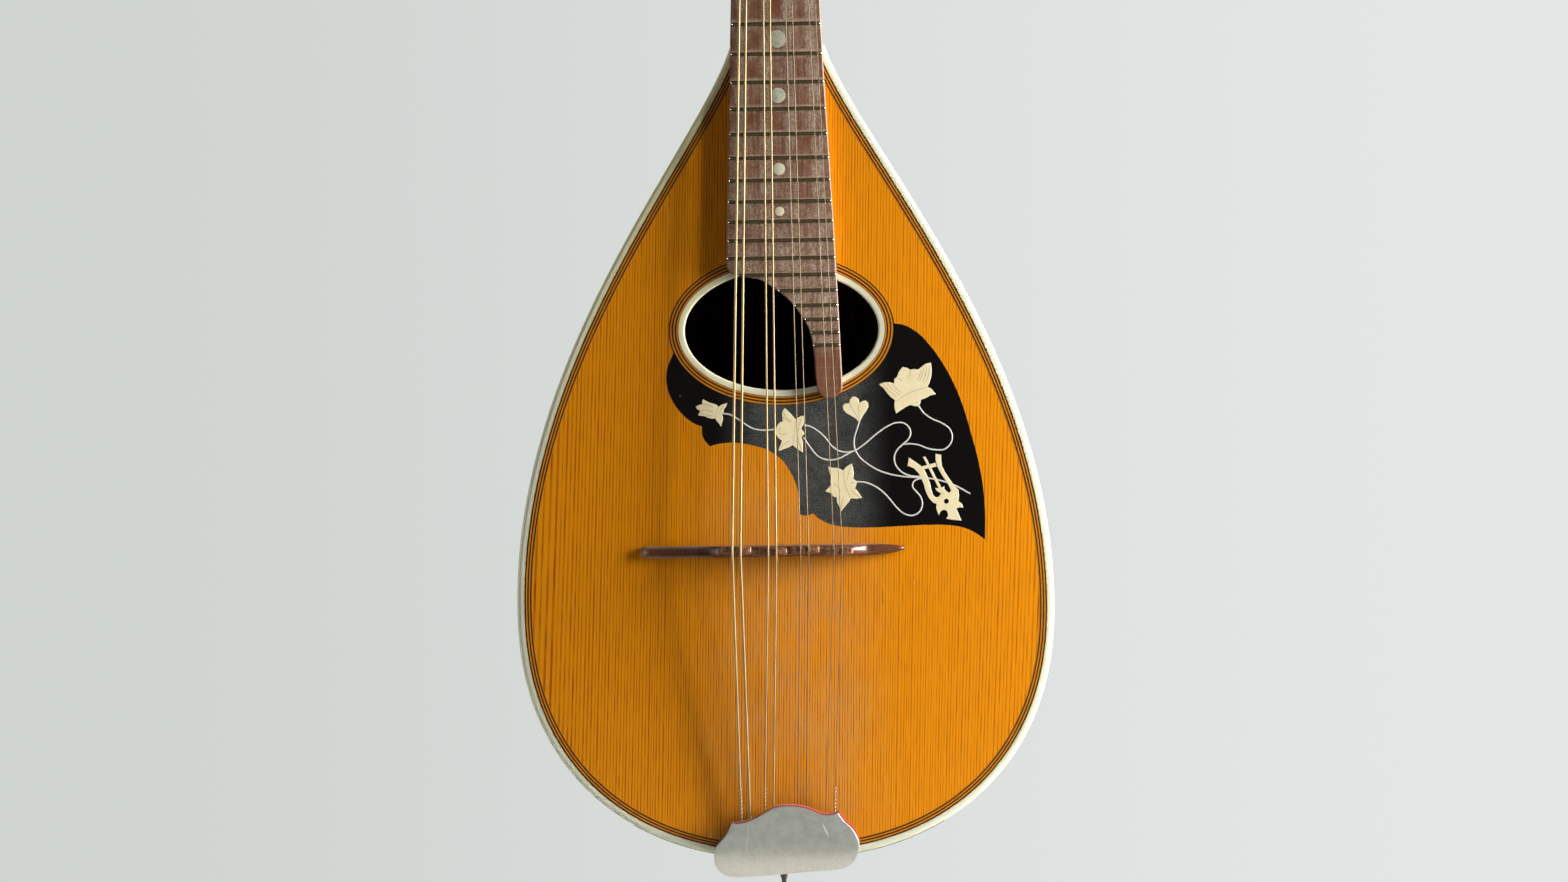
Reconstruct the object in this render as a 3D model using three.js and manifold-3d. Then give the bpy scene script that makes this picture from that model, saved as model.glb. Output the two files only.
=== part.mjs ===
// Bowl back mandolin, drawn upright and facing -Y.
// X runs across the strings with the treble side at +X, and Z runs up the neck.
// The origin is on the centre line at the nut, in the plane of the soundboard's face.
// Lengths are in millimetres and angles in degrees.

import * as THREE from 'three'
import { mergeVertices } from 'three/addons/utils/BufferGeometryUtils.js'
import Module from 'manifold-3d'

const wasm = await Module()
wasm.setup()

// Fits
const gap = 0.3                       // clearance between pieces that rest on each other
const overrun = 6                     // how far a cutting tool runs past the piece it cuts
const weld = 1e-4                     // corners closer than this are one corner
const probe = 1e-4                    // step for finding a direction on a surface

// Scale and fingerboard
const scaleLength = 340.5
const bridgeForward = 2.6             // the loose bridge stands this far short of the scale length
const fullFretCount = 19              // frets that run right across the fingerboard
const fretCount = 25                  // the last six lie on the treble tongue
const nutWidth = 25.6
const fingerboardEndWidth = 41        // at the corner past the last full fret
const fingerboardThickness = 3.5
const cornerPastFret = 2.6
const tonguePastFret = 20
const fretWidth = 1.7
const fretHeight = 0.9
const nutThickness = 4.5
const nutSlotDepth = 0.9
const nutSlotWidth = 1.5
const nutAction = 0.3                 // string slots above the frets

// Body in plan
const bodyWidth = 204.2
const lowerLength = 97.2              // widest line to tail
const upperLength = 212.7             // widest line to neck
const widestBelowBridge = 20.7
const tailExponent = 2.25             // superellipse of the tail end
const upperLengthShares = [0, 0.461, 0.819, 1]
const upperWidthShares = [1, 1, 0.2995, 0.175]

// Bowl
const bowlDepth = 138
const upperDepthShares = [1, 1, 0.47, 0.2]
const ribCount = 11
const ribThickness = 1.8
const ribStartShare = 0.035           // where the ribs end, as a share of the way from tail to widest line
const claspLength = 118
const claspDepth = 40
const claspThickness = 1.2
const claspEdgeThickness = 0.3        // scraped thin at the rim, flush with the binding
const claspEdgeDepth = 16             // depth below the rim where it has its full thickness
const claspEndShare = 0.25            // its depth at the ends, as a share of the middle's
const claspRoundness = 0.7

// Soundboard and what is set into it
const boardThickness = 2.8
const cantAngle = 4.5
const cantBelowBridge = 8             // where the soundboard bends back towards the tail
const bindingWidth = 2.8
const purflingWidth = 2.6
const inlayThickness = 1.2
const soundholeWidth = 73.6
const soundholeHeight = 45.6
const soundholeAboveWidest = 104.5
const soundholeBindingWidth = 2.4
const rosetteWidth = 2.9
const guardWidth = 120.2
const guardHeight = 82.8
const guardBassSide = -43.9           // bass edge of the pickguard from the centre line
const guardTailAboveBridge = 2.9      // tail edge of the pickguard above the bridge line

// Inside the body
const neckBlockLength = 30
const tailBlockThickness = 14
const tailBlockWidth = 70
const tailBlockDepth = 52
const liningWidth = 4
const liningDepth = 8
const braceWidth = 6
const braceHeight = 11
const braceEndHeight = 3.5
const braceFromHole = 8
const braceAboveBridge = 12

// Neck and head
const neckThickness = 17
const neckRoundness = 0.85
const heelLength = 60
const heelSweep = 3                   // how sharply the heel deepens towards the body
const headAngle = 15
const headLength = 146
const headWidth = 50
const headCrownDepth = 9
const crownHollowShare = 0.2          // height of the crown's hollows, of the crown's depth
const headFlareLength = 18
const headThickness = 12.5
const veneerThickness = 1.2

// Tuning machines
const firstPost = 30                  // first post from the head's lower end
const postSpacing = 24
const postFromCentre = 15.5
const postRadius = 3
const postWaistRadius = 2.4
const postHeight = 11                 // above the veneer
const postClearance = 0.4
const plateWidth = 15
const plateEndLength = 12             // plate past the outer posts
const plateThickness = 1
const gearTeeth = 14
const gearThickness = 2.4
const meshDistance = 6.2              // post axis to worm axis
const wormRadius = 2.4
const threadHeight = 1.4
const meshClearance = 0.25
const wormTurns = 3
const shaftRadius = 1.2
const lugThickness = 1.2
const lugWidth = 5
const buttonFromHead = 3
const buttonLength = 12
const buttonWidth = 13.5
const buttonFlatShare = 0.6
const gearToothShares = [0.45, 0.2]   // tooth width at root and tip, of the tooth spacing
const threadShares = [0.5, 0.2]       // thread width at base and crest, of the pitch

// Strings, by pairs from bass to treble
const pairNames = ['g', 'd', 'a', 'e']
const stringRadii = [0.46, 0.33, 0.18, 0.14]
const nutPairPlaces = [-9.2, -3, 3, 9.2]
const bridgePairPlaces = [-18.4, -4.8, 7.4, 20.1]
const hookPairPlaces = [-16.4, -7.9, 4.7, 15.2]
const nutPairSpacing = 2.1
const bridgePairSpacing = 3.1
const hookPairSpacing = 3.4
const stringSides = 5

// Bridge
const bridgeLength = 100.5
const bridgeThickness = 4.6
const bridgeHeight = 9.4
const bridgeOffset = -4.7
const saddleLandWidth = 10.5
const saddleLandDepth = 2
const saddleLandHeight = 1.1
const saddleStepShares = [0.22, -0.06, 0.22, -0.14]   // how far each land sits to the neck side

// Tailpiece
const plateFrontFromTail = 15
const tailPlateWidth = 38.4
const tailPlateThickness = 0.8
const tailPlateDrop = 17
const hookHeight = 2.2
const hookWidth = 1.4
const hookLength = 3.4
const coverWidth = 55.5
const coverLength = 28
const coverHeight = 6.8
const coverSkirt = 12
const coverWall = 0.8
const coverBend = 10                  // radius that it is rounded over the tail on
const coverPastTail = 6.5
const coverOffset = -1.3
const coverTurn = 4                   // sits turned, with its treble side towards the bridge
const coverMouthShare = 0.8           // width of the opening under its front edge, of its width
const feltThickness = 1.5
const pinRadius = 4.5
const pinStemRadius = 2
const pinHeight = 7.5
const pinDepth = 30                   // below the face of the soundboard at the tail

// Places worked out from the sizes
const bridgeZ = bridgeForward - scaleLength
const widestZ = bridgeZ - widestBelowBridge
const tailZ = widestZ - lowerLength
const bodyTopZ = widestZ + upperLength
const cantZ = bridgeZ - cantBelowBridge
const soundholeZ = widestZ + soundholeAboveWidest
const headZ = nutThickness + gap
const cantSlope = Math.tan(THREE.MathUtils.degToRad(cantAngle))

function fretZ(number) {
  return -scaleLength * (1 - 2 ** (-number / 12))
}

// How far the face of the soundboard has dropped back at a height z
function cantDrop(z) {
  return Math.max(0, cantZ - z) * cantSlope
}

function cubic([a, b, c, d], u) {
  const v = 1 - u
  return a * v * v * v + 3 * b * u * v * v + 3 * c * u * u * v + d * u * u * u
}

// Finishes
function finish(colour, roughness, metalness = 0) {
  return new THREE.MeshStandardMaterial({ color: colour, roughness, metalness })
}

const finishes = {
  spruce: finish('#c9863c', 0.45),
  innerSpruce: finish('#d9bd8b', 0.8),
  binding: finish('#dcdcc4', 0.4),
  purfling: finish('#8a6a3c', 0.5),
  guard: finish('#1d1b1a', 0.25),
  rosewood: finish('#4a2f22', 0.5),
  ribwood: finish('#5a2c1c', 0.35),
  neckwood: finish('#7a4a28', 0.4),
  bone: finish('#e6dcc0', 0.45),
  nickel: finish('#b9b7ae', 0.3, 1),
  brass: finish('#b08d4a', 0.35, 1),
  steel: finish('#c4c6c8', 0.3, 1),
  bronze: finish('#a8835a', 0.35, 1),
  felt: finish('#a5221c', 0.95),
  ebony: finish('#1c1714', 0.4),
}

// Solids for joining and cutting
function solid(geometry) {
  const bare = new THREE.BufferGeometry()
  bare.setAttribute('position', geometry.getAttribute('position').clone())
  if (geometry.index) bare.setIndex(geometry.index.clone())
  const merged = mergeVertices(bare, weld)
  return new wasm.Manifold(new wasm.Mesh({
    numProp: 3,
    vertProperties: merged.getAttribute('position').array,
    triVerts: new Uint32Array(merged.index.array),
  }))
}

function geometryOf(body) {
  const result = body.getMesh()
  const geometry = new THREE.BufferGeometry()
  geometry.setAttribute('position', new THREE.BufferAttribute(result.vertProperties, 3))
  geometry.setIndex(new THREE.BufferAttribute(result.triVerts, 1))
  return geometry
}

function joined(solids) {
  return solids.reduce((all, next) => all.add(next))
}

function cut(body, tools) {
  return tools.reduce((rest, tool) => rest.subtract(tool), body)
}

// Solid shapes
function asShape(outline) {
  return outline instanceof THREE.Shape ? outline : new THREE.Shape(outline)
}

// An outline in x and z, made thick from yFront to yBack
function prism(outline, yFront, yBack) {
  const geometry = new THREE.ExtrudeGeometry(asShape(outline), {
    depth: yBack - yFront, bevelEnabled: false, curveSegments: 5,
  })
  return geometry.rotateX(Math.PI / 2).translate(0, yBack, 0)
}

// A profile in z and y, made long from xLow to xHigh
function beam(profile, xLow, xHigh) {
  const geometry = new THREE.ExtrudeGeometry(asShape(profile), {
    depth: xHigh - xLow, bevelEnabled: false, curveSegments: 3,
  })
  return geometry.rotateY(-Math.PI / 2).translate(xHigh, 0, 0)
}

// A profile in x and y, made long from zLow to zHigh
function slab(profile, zLow, zHigh) {
  const geometry = new THREE.ExtrudeGeometry(asShape(profile), {
    depth: zHigh - zLow, bevelEnabled: false, curveSegments: 6,
  })
  return geometry.translate(0, 0, zLow)
}

function box(x, y, z) {
  const size = [x, y, z].map(([low, high]) => high - low)
  const middle = [x, y, z].map(([low, high]) => (low + high) / 2)
  return new THREE.BoxGeometry(...size).translate(...middle)
}

// A round bar along Y from yFront to yBack
function bar(radius, yFront, yBack, x, z, sides = 8) {
  const middle = (yFront + yBack) / 2
  return new THREE.CylinderGeometry(radius, radius, yBack - yFront, sides).translate(x, middle, z)
}

function signedArea(ring) {
  return THREE.ShapeUtils.area(ring)
}

// Triangles that close one end of a loft, wound as the ring is or against it
function capTriangles(ring, first, against) {
  const normal = new THREE.Vector3()
  ring.forEach((p, i) => normal.add(p.clone().cross(ring[(i + 1) % ring.length])))
  normal.normalize()
  const across = ring[1].clone().sub(ring[0]).normalize()
  const up = normal.clone().cross(across).normalize()
  const flat = ring.map((p) => new THREE.Vector2(p.dot(across), p.dot(up)))
  const ringSign = Math.sign(signedArea(flat)) * (against ? -1 : 1)
  return THREE.ShapeUtils.triangulateShape(flat, []).flatMap(([a, b, c]) => {
    const keep = Math.sign(signedArea([flat[a], flat[b], flat[c]])) === ringSign
    return (keep ? [a, b, c] : [a, c, b]).map((i) => first + i)
  })
}

// A closed skin through rings of equally many points, with flat ends
function loft(rings) {
  const count = rings[0].length
  const index = []
  for (let r = 0; r < rings.length - 1; r++) {
    for (let i = 0; i < count; i++) {
      const a = r * count + i
      const b = r * count + ((i + 1) % count)
      index.push(a, b, b + count, a, b + count, a + count)
    }
  }
  index.push(...capTriangles(rings[0], 0, true))
  index.push(...capTriangles(rings.at(-1), (rings.length - 1) * count, false))
  const points = rings.flat()
  let volume = 0
  for (let i = 0; i < index.length; i += 3) {
    const [a, b, c] = [points[index[i]], points[index[i + 1]], points[index[i + 2]]]
    volume += a.dot(b.clone().cross(c))
  }
  if (volume < 0) index.reverse()
  const geometry = new THREE.BufferGeometry()
  geometry.setFromPoints(points)
  geometry.setIndex(index)
  return geometry
}

// A turned piece along Y from radius and height pairs
function turned(profile, sides) {
  return new THREE.LatheGeometry(profile.map(([r, y]) => new THREE.Vector2(r, y)), sides)
}

// The outline moved outwards by a distance, corner by corner
function grown(outline, distance) {
  const sign = Math.sign(signedArea(outline))
  return outline.map((point, i) => {
    const before = outline.at(i - 1)
    const after = outline[(i + 1) % outline.length]
    const inward = point.clone().sub(before).normalize()
    const onward = after.clone().sub(point).normalize()
    const bisector = inward.clone().add(onward).normalize()
    const normal = new THREE.Vector2(bisector.y, -bisector.x)
    const stretch = Math.min(2, 1 / Math.max(0.5, inward.dot(bisector)))
    return point.clone().addScaledVector(normal, distance * sign * stretch)
  })
}

function ellipse(width, height, z, count = 30) {
  return Array.from({ length: count }, (_, i) => {
    const angle = (i / count) * 2 * Math.PI
    return new THREE.Vector2((width / 2) * Math.cos(angle), z + (height / 2) * Math.sin(angle))
  })
}

// The model
const mandolin = new THREE.Group()

function add(name, shape, material, parent = mandolin) {
  const geometry = shape.isBufferGeometry ? shape : geometryOf(shape)
  const mesh = new THREE.Mesh(geometry, material)
  mesh.name = name
  parent.add(mesh)
  return mesh
}

// Body outline and bowl
// A station runs from 0 at the tail through 1 at the widest line to 2 at the neck.
function station(t) {
  if (t <= 1) {
    const angle = (1 - Math.abs(t)) * Math.PI / 2
    const share = Math.cos(angle) ** (2 / tailExponent)
    const z = widestZ - lowerLength * Math.sin(angle) ** (2 / tailExponent)
    return { z, halfWidth: Math.sign(t) * share * bodyWidth / 2, depth: share * bowlDepth }
  }
  const u = t - 1
  return {
    z: widestZ + upperLength * cubic(upperLengthShares, u),
    halfWidth: cubic(upperWidthShares, u) * bodyWidth / 2,
    depth: cubic(upperDepthShares, u) * bowlDepth,
  }
}

function outlinePoint(t, inset) {
  const here = station(t)
  const before = station(t - probe)
  const after = station(Math.min(2, t + probe))
  const along = new THREE.Vector2(after.halfWidth - before.halfWidth, after.z - before.z).normalize()
  const point = new THREE.Vector2(here.halfWidth, here.z)
  point.add(new THREE.Vector2(-along.y, along.x).multiplyScalar(inset))
  if (t === 0) point.x = 0
  if (t === 2) point.y = bodyTopZ
  return point
}

const outlineStations = [
  0, 0.07, 0.15, 0.24, 0.34, 0.46, 0.6, 0.76, 0.9, 1, 1.1, 1.2, 1.3, 1.4, 1.5, 1.6, 1.7, 1.8, 1.9, 2,
]

function halfOutline(inset) {
  return outlineStations.map((t) => outlinePoint(t, inset))
}

function bodyOutline(inset) {
  const treble = halfOutline(inset)
  const bass = treble.slice(1).reverse().map((p) => new THREE.Vector2(-p.x, p.y))
  return [...treble, ...bass]
}

// Half the width inside an inset outline at a height z
function halfWidthAt(z, inset) {
  const side = halfOutline(inset)
  const i = side.findIndex((p, k) => k > 0 && p.y >= z)
  const share = (z - side[i - 1].y) / (side[i].y - side[i - 1].y)
  return THREE.MathUtils.lerp(side[i - 1].x, side[i].x, share)
}

// A layer of the soundboard between two depths below its face, following the cant
function cantedLayer(top, bottom) {
  const low = tailZ - overrun
  const high = bodyTopZ + overrun
  const profile = [
    [low, top + cantDrop(low)], [cantZ, top], [high, top],
    [high, bottom], [cantZ, bottom], [low, bottom + cantDrop(low)],
  ].map(([z, y]) => new THREE.Vector2(z, y))
  return solid(beam(profile, -bodyWidth, bodyWidth))
}

function planPiece(outline) {
  return solid(prism(outline, -overrun, bowlDepth))
}

function rimY(z) {
  return boardThickness + gap + cantDrop(z)
}

// A point on the bowl. The angle runs from 0 at the bass rim to 180 at the treble rim.
function bowlSkin(t, angle) {
  const { z, halfWidth, depth } = station(t)
  const turn = THREE.MathUtils.degToRad(angle)
  return new THREE.Vector3(-halfWidth * Math.cos(turn), rimY(z) + depth * Math.sin(turn), z)
}

function bowlPoint(t, angle, inset) {
  const along = bowlSkin(Math.min(2, t + probe), angle).sub(bowlSkin(t - probe, angle))
  const around = bowlSkin(t, angle + probe).sub(bowlSkin(t, angle - probe))
  const inward = around.cross(along).normalize()
  const point = bowlSkin(t, angle).addScaledVector(inward, inset)
  if (t === 2) point.z = bodyTopZ
  return point
}

const ribStations = [
  ribStartShare, 0.08, 0.16, 0.27, 0.4, 0.55, 0.72, 0.87, 1, 1.16, 1.32, 1.48, 1.62, 1.76, 1.88, 2,
]
const bowlInset = ribThickness + gap

function rib(number) {
  const step = 180 / ribCount
  const rings = ribStations.map((t) => {
    const low = number * step
    const high = low + step
    const spread = bowlSkin(t, high).distanceTo(bowlSkin(t, low)) / step
    const trim = gap / 2 / spread
    const angles = [low + trim, (low + high) / 2, high - trim]
    const outer = angles.map((angle) => bowlPoint(t, angle, 0))
    const inner = angles.map((angle) => bowlPoint(t, angle, ribThickness)).reverse()
    return [...outer, ...inner]
  })
  return loft(rings)
}

// The space inside the bowl, drawn in from its skin, with the same facets as the ribs
function bowlSpace(inset) {
  const angles = Array.from({ length: 2 * ribCount + 1 }, (_, i) => i * 90 / ribCount)
  return solid(loft(ribStations.map((t) => angles.map((angle) => bowlPoint(t, angle, inset)))))
}

const pinY = cantDrop(tailZ) + pinDepth

function pinHole(radius) {
  const length = lowerLength / 2
  const tool = new THREE.CylinderGeometry(radius, radius, length, 10).rotateX(Math.PI / 2)
  return solid(tool.translate(0, pinY, tailZ))
}

// The narrow tail end of the middle rib stops short of the end pin, under the clasp.
function addBowl() {
  const middle = Math.floor(ribCount / 2)
  const pinSpace = solid(box(
    [-bodyWidth, bodyWidth], [-overrun, pinY + pinStemRadius + gap], [tailZ - overrun, widestZ]))
  for (let i = 0; i < ribCount; i++) {
    const name = `rib_${String(i + 1).padStart(2, '0')}`
    const shape = i === middle ? solid(rib(i)).subtract(pinSpace) : rib(i)
    add(name, shape, finishes.ribwood)
  }
}

// The clasp is a band bent round the tail over the ends of the ribs, and thinner at the rim.
function claspOffset(depth) {
  const share = Math.min(depth / claspEdgeDepth, 1)
  return gap + THREE.MathUtils.lerp(claspEdgeThickness, claspThickness, share)
}

function claspPoint(share, depth, offset) {
  const reach = claspLength / 2
  const x = reach * share
  const flat = { x: 2 * x / bodyWidth, y: depth / bowlDepth }
  const ratio = Math.hypot(flat.x, flat.y) ** tailExponent
  const z = widestZ - lowerLength * (1 - ratio) ** (1 / tailExponent)
  const steepness = Math.hypot(flat.x, flat.y) ** (tailExponent - 2) * (1 - ratio) ** (1 / tailExponent - 1)
  const slope = steepness * lowerLength
  const normal = new THREE.Vector3(
    slope * flat.x * 2 / bodyWidth, slope * flat.y / bowlDepth, -1).normalize()
  return new THREE.Vector3(x, rimY(z) + depth, z).addScaledVector(normal, offset)
}

function addClasp() {
  const steps = 14
  const rings = Array.from({ length: steps + 1 }, (_, i) => {
    const share = 2 * i / steps - 1
    const swell = Math.cos(share * Math.PI / 2) ** claspRoundness
    const depth = claspDepth * THREE.MathUtils.lerp(claspEndShare, 1, swell)
    const middleDepths = [1, 2].map((step) => depth * step / 3)
    const depths = [gap, ...middleDepths, depth]
    const outer = depths.map((d) => claspPoint(share, d, claspOffset(d)))
    const inner = depths.map((d) => claspPoint(share, d, gap)).reverse()
    return [...outer, ...inner]
  })
  add('tail_clasp', solid(loft(rings)).subtract(pinHole(pinStemRadius + gap)), finishes.ribwood)
}

// Soundboard with its bindings
const boardInset = bindingWidth + gap
const purflingInset = boardInset + purflingWidth

function ringPiece(outer, inner, top, bottom) {
  return planPiece(outer).subtract(planPiece(inner)).intersect(cantedLayer(top, bottom))
}

function holeRing(outward, extra = 0) {
  const more = 2 * (outward + extra)
  return ellipse(soundholeWidth + more, soundholeHeight + more, soundholeZ)
}

const rosetteInner = soundholeBindingWidth + gap
const rosetteOuter = rosetteInner + rosetteWidth

// Corners and curve points of the pickguard, as shares of its width from the bass edge
// and of its height from the tail edge
const guardCornerShares = [
  [[0.02, 0.89], [0, 0.79], [0.003, 0.73], [0.037, 0.625], [0.092, 0.55], [0.108, 0.541]],
  [[0.108, 0.541], [0.112, 0.5], [0.13, 0.457], [0.134, 0.45]],
  [[0.134, 0.45], [0.21, 0.464], [0.285, 0.444], [0.352, 0.372], [0.392, 0.286],
    [0.413, 0.2], [0.414, 0.129]],
  [[0.414, 0.129], [0.446, 0.134], [0.457, 0.134], [0.497, 0.094], [0.58, 0.066], [0.73, 0.065],
    [0.877, 0.073], [0.951, 0.045], [0.998, 0]],
  [[0.998, 0], [1, 0.108], [0.978, 0.34], [0.936, 0.545], [0.87, 0.73], [0.792, 0.87], [0.72, 1]],
]

function guardOutline() {
  const points = guardCornerShares.flatMap((run) => {
    const curve = new THREE.SplineCurve(run.map(([x, z]) => new THREE.Vector2(
      guardBassSide + guardWidth * x, bridgeZ + guardTailAboveBridge + guardHeight * z)))
    return curve.getPoints(2 * run.length - 2).slice(0, -1)
  })
  const [x, z] = guardCornerShares.at(-1).at(-1)
  points.push(new THREE.Vector2(
    guardBassSide + guardWidth * x, bridgeZ + guardTailAboveBridge + guardHeight * z))
  return points
}

function addSoundboard() {
  const guard = guardOutline()
  const guardPlan = planPiece(guard).subtract(planPiece(holeRing(rosetteOuter, gap)))
  const guardSocket = planPiece(grown(guard, gap)).subtract(planPiece(holeRing(rosetteOuter, gap)))
  const groove = inlayThickness + gap
  const board = cut(planPiece(bodyOutline(boardInset)).intersect(cantedLayer(0, boardThickness)), [
    ringPiece(bodyOutline(0), bodyOutline(purflingInset + gap), -overrun, groove),
    planPiece(holeRing(soundholeBindingWidth + gap)),
    ringPiece(holeRing(rosetteOuter, gap), holeRing(0), -overrun, groove),
    guardSocket.intersect(cantedLayer(-overrun, groove)),
  ])
  const neckEnd = solid(box(
    [-bodyWidth, bodyWidth], [-overrun, bowlDepth], [bodyTopZ - bindingWidth - gap, bodyTopZ + overrun]))
  add('soundboard', board, finishes.spruce)
  add('edge_binding', ringPiece(bodyOutline(0), bodyOutline(bindingWidth), 0, boardThickness)
    .subtract(neckEnd), finishes.binding)
  add('edge_purfling', ringPiece(bodyOutline(boardInset), bodyOutline(purflingInset), 0, inlayThickness)
    .subtract(neckEnd.translate(0, 0, -purflingWidth - gap)), finishes.purfling)
  add('soundhole_binding', ringPiece(holeRing(soundholeBindingWidth), holeRing(0), 0, boardThickness),
    finishes.binding)
  add('rosette', ringPiece(holeRing(rosetteOuter), holeRing(rosetteInner), 0, inlayThickness),
    finishes.purfling)
  add('pickguard', guardPlan.intersect(cantedLayer(0, inlayThickness)), finishes.guard)
}

// Blocks, linings and braces
function addInside() {
  const bowl = bowlSpace(bowlInset)
  const deep = [-overrun, bowlDepth]
  const neckBlock = box([-bodyWidth, bodyWidth], deep, [bodyTopZ - neckBlockLength, bodyTopZ + overrun])
  const tailBlock = box(
    [-tailBlockWidth / 2, tailBlockWidth / 2], [-overrun, rimY(tailZ) + tailBlockDepth],
    [tailZ - overrun, tailZ + bowlInset + tailBlockThickness])
  add('neck_block', bowl.intersect(solid(neckBlock)), finishes.innerSpruce)
  add('tail_block', bowl.intersect(solid(tailBlock)).subtract(pinHole(pinStemRadius + gap)),
    finishes.innerSpruce)

  const wall = bowl.subtract(bowlSpace(bowlInset + liningWidth))
    .intersect(cantedLayer(boardThickness + gap, boardThickness + gap + liningDepth))
  const reach = [tailZ + tailBlockThickness + bowlInset + gap, bodyTopZ - neckBlockLength - gap]
  const besideBlock = tailBlockWidth / 2 + gap
  const sides = { bass: [-bodyWidth, -besideBlock], treble: [besideBlock, bodyWidth] }
  const upper = [bodyTopZ - upperLength, reach[1]]
  for (const [side, span] of Object.entries(sides)) {
    const inward = side === 'bass' ? [-bodyWidth, 0] : [0, bodyWidth]
    const tool = solid(box(span, deep, [tailZ, upper[0]])).add(solid(box(inward, deep, upper)))
    add(`rim_lining_${side}`, wall.intersect(tool), finishes.innerSpruce)
  }

  const betweenLinings = bowlSpace(bowlInset + liningWidth + gap)
  const holeReach = soundholeHeight / 2 + rosetteOuter + braceFromHole
  const places = [soundholeZ + holeReach, soundholeZ - holeReach, bridgeZ + braceAboveBridge]
  places.forEach((z, i) => {
    const reach = halfWidthAt(z, bowlInset)
    const top = boardThickness + gap
    const profile = new THREE.Shape()
    profile.moveTo(-reach, top)
    profile.lineTo(reach, top)
    profile.lineTo(reach, top + braceEndHeight)
    profile.quadraticCurveTo(reach / 2, top + braceHeight, 0, top + braceHeight)
    profile.quadraticCurveTo(-reach / 2, top + braceHeight, -reach, top + braceEndHeight)
    const stick = solid(slab(profile, z - braceWidth / 2, z + braceWidth / 2))
    add(`cross_brace_${i + 1}`, stick.intersect(betweenLinings), finishes.innerSpruce)
  })
}

// Neck and head
const heelHalfWidth = upperWidthShares.at(-1) * bodyWidth / 2
const heelDepth = rimY(bodyTopZ) + upperDepthShares.at(-1) * bowlDepth

function headGroup() {
  const group = new THREE.Group()
  group.position.z = headZ
  group.rotation.x = THREE.MathUtils.degToRad(-headAngle)
  mandolin.add(group)
  return group
}

// Front view of the head: a flare above the nut, long flat sides and a low crown with a middle point
function headOutline() {
  const half = headWidth / 2
  const start = nutWidth / 2
  const shoulder = headLength - headCrownDepth
  const hollow = shoulder + headCrownDepth * crownHollowShare
  const flare = headFlareLength / 2
  const shape = new THREE.Shape()
  shape.moveTo(-start, 0)
  shape.lineTo(start, 0)
  shape.bezierCurveTo(start, flare, half, flare, half, headFlareLength)
  shape.lineTo(half, shoulder)
  shape.quadraticCurveTo(half * 3 / 4, shoulder, half / 2, hollow)
  shape.quadraticCurveTo(half / 4, headLength, 0, headLength)
  shape.quadraticCurveTo(-half / 4, headLength, -half / 2, hollow)
  shape.quadraticCurveTo(-half * 3 / 4, shoulder, -half, shoulder)
  shape.lineTo(-half, headFlareLength)
  shape.bezierCurveTo(-half, flare, -start, flare, -start, 0)
  return shape
}

const machinePlaces = [0, 1, 2, 3].map((i) => firstPost + i * postSpacing)

function addNeck(head) {
  const low = bodyTopZ + gap
  const length = headZ - low
  const shares = [0, 0.06, 0.12, 0.2, 0.28, 0.38, 0.5, 0.65, 0.8, 0.93, 1]
  const sides = 12
  const turns = Array.from({ length: sides + 1 }, (_, i) => i * Math.PI / sides)
  const rings = shares.map((share) => {
    const z = low + share * length
    const halfWidth = THREE.MathUtils.lerp(heelHalfWidth, nutWidth / 2, share)
    const fromHeel = Math.min(1, (share * length) / heelLength)
    const swell = (heelDepth - neckThickness) * (1 - fromHeel) ** heelSweep
    const thin = share === 1 ? neckThickness - headThickness : 0
    const depth = neckThickness + swell - thin
    return turns.map((turn) => new THREE.Vector3(
      -halfWidth * Math.cos(turn), depth * Math.sin(turn) ** neckRoundness, z))
  })
  const tilt = head.matrixWorld.clone()
  const holes = machinePlaces.flatMap((z) => [-1, 1].map((side) => solid(
    bar(postRadius + postClearance, -overrun, headThickness + overrun, side * postFromCentre, z))))
  const blade = geometryOf(cut(solid(prism(headOutline(), 0, headThickness)), holes))
  add('neck', solid(loft(rings)).add(solid(blade.applyMatrix4(tilt))), finishes.neckwood)

  const veneerBack = -gap
  const veneer = solid(prism(headOutline(), veneerBack - veneerThickness, veneerBack))
  const nutSide = box([-headWidth, headWidth], [-overrun, overrun], [-overrun, nutThickness])
  add('head_veneer', cut(veneer, [...holes, solid(nutSide)]), finishes.rosewood, head)
}

// Fingerboard with its frets
const fingerboardBack = -gap
const fingerboardFront = fingerboardBack - fingerboardThickness
const cornerZ = fretZ(fullFretCount) - cornerPastFret
const tongueZ = fretZ(fretCount) - tonguePastFret
const boardTaper = (fingerboardEndWidth - nutWidth) / 2 / -cornerZ

function boardHalfWidth(z) {
  return nutWidth / 2 - z * boardTaper
}

// The bass edge of the tongue, as shares of the half width and of the tongue's length
const tongueEdgeShares = [
  [-0.97, 0.03], [-0.87, 0.063], [-0.4, 0.107], [-0.13, 0.172], [0.21, 0.29],
  [0.45, 0.44], [0.565, 0.578], [0.615, 0.78], [0.66, 0.94],
]
const tongueTipShares = { turn: 0.7, middle: 0.86, rise: 0.12 }

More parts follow.
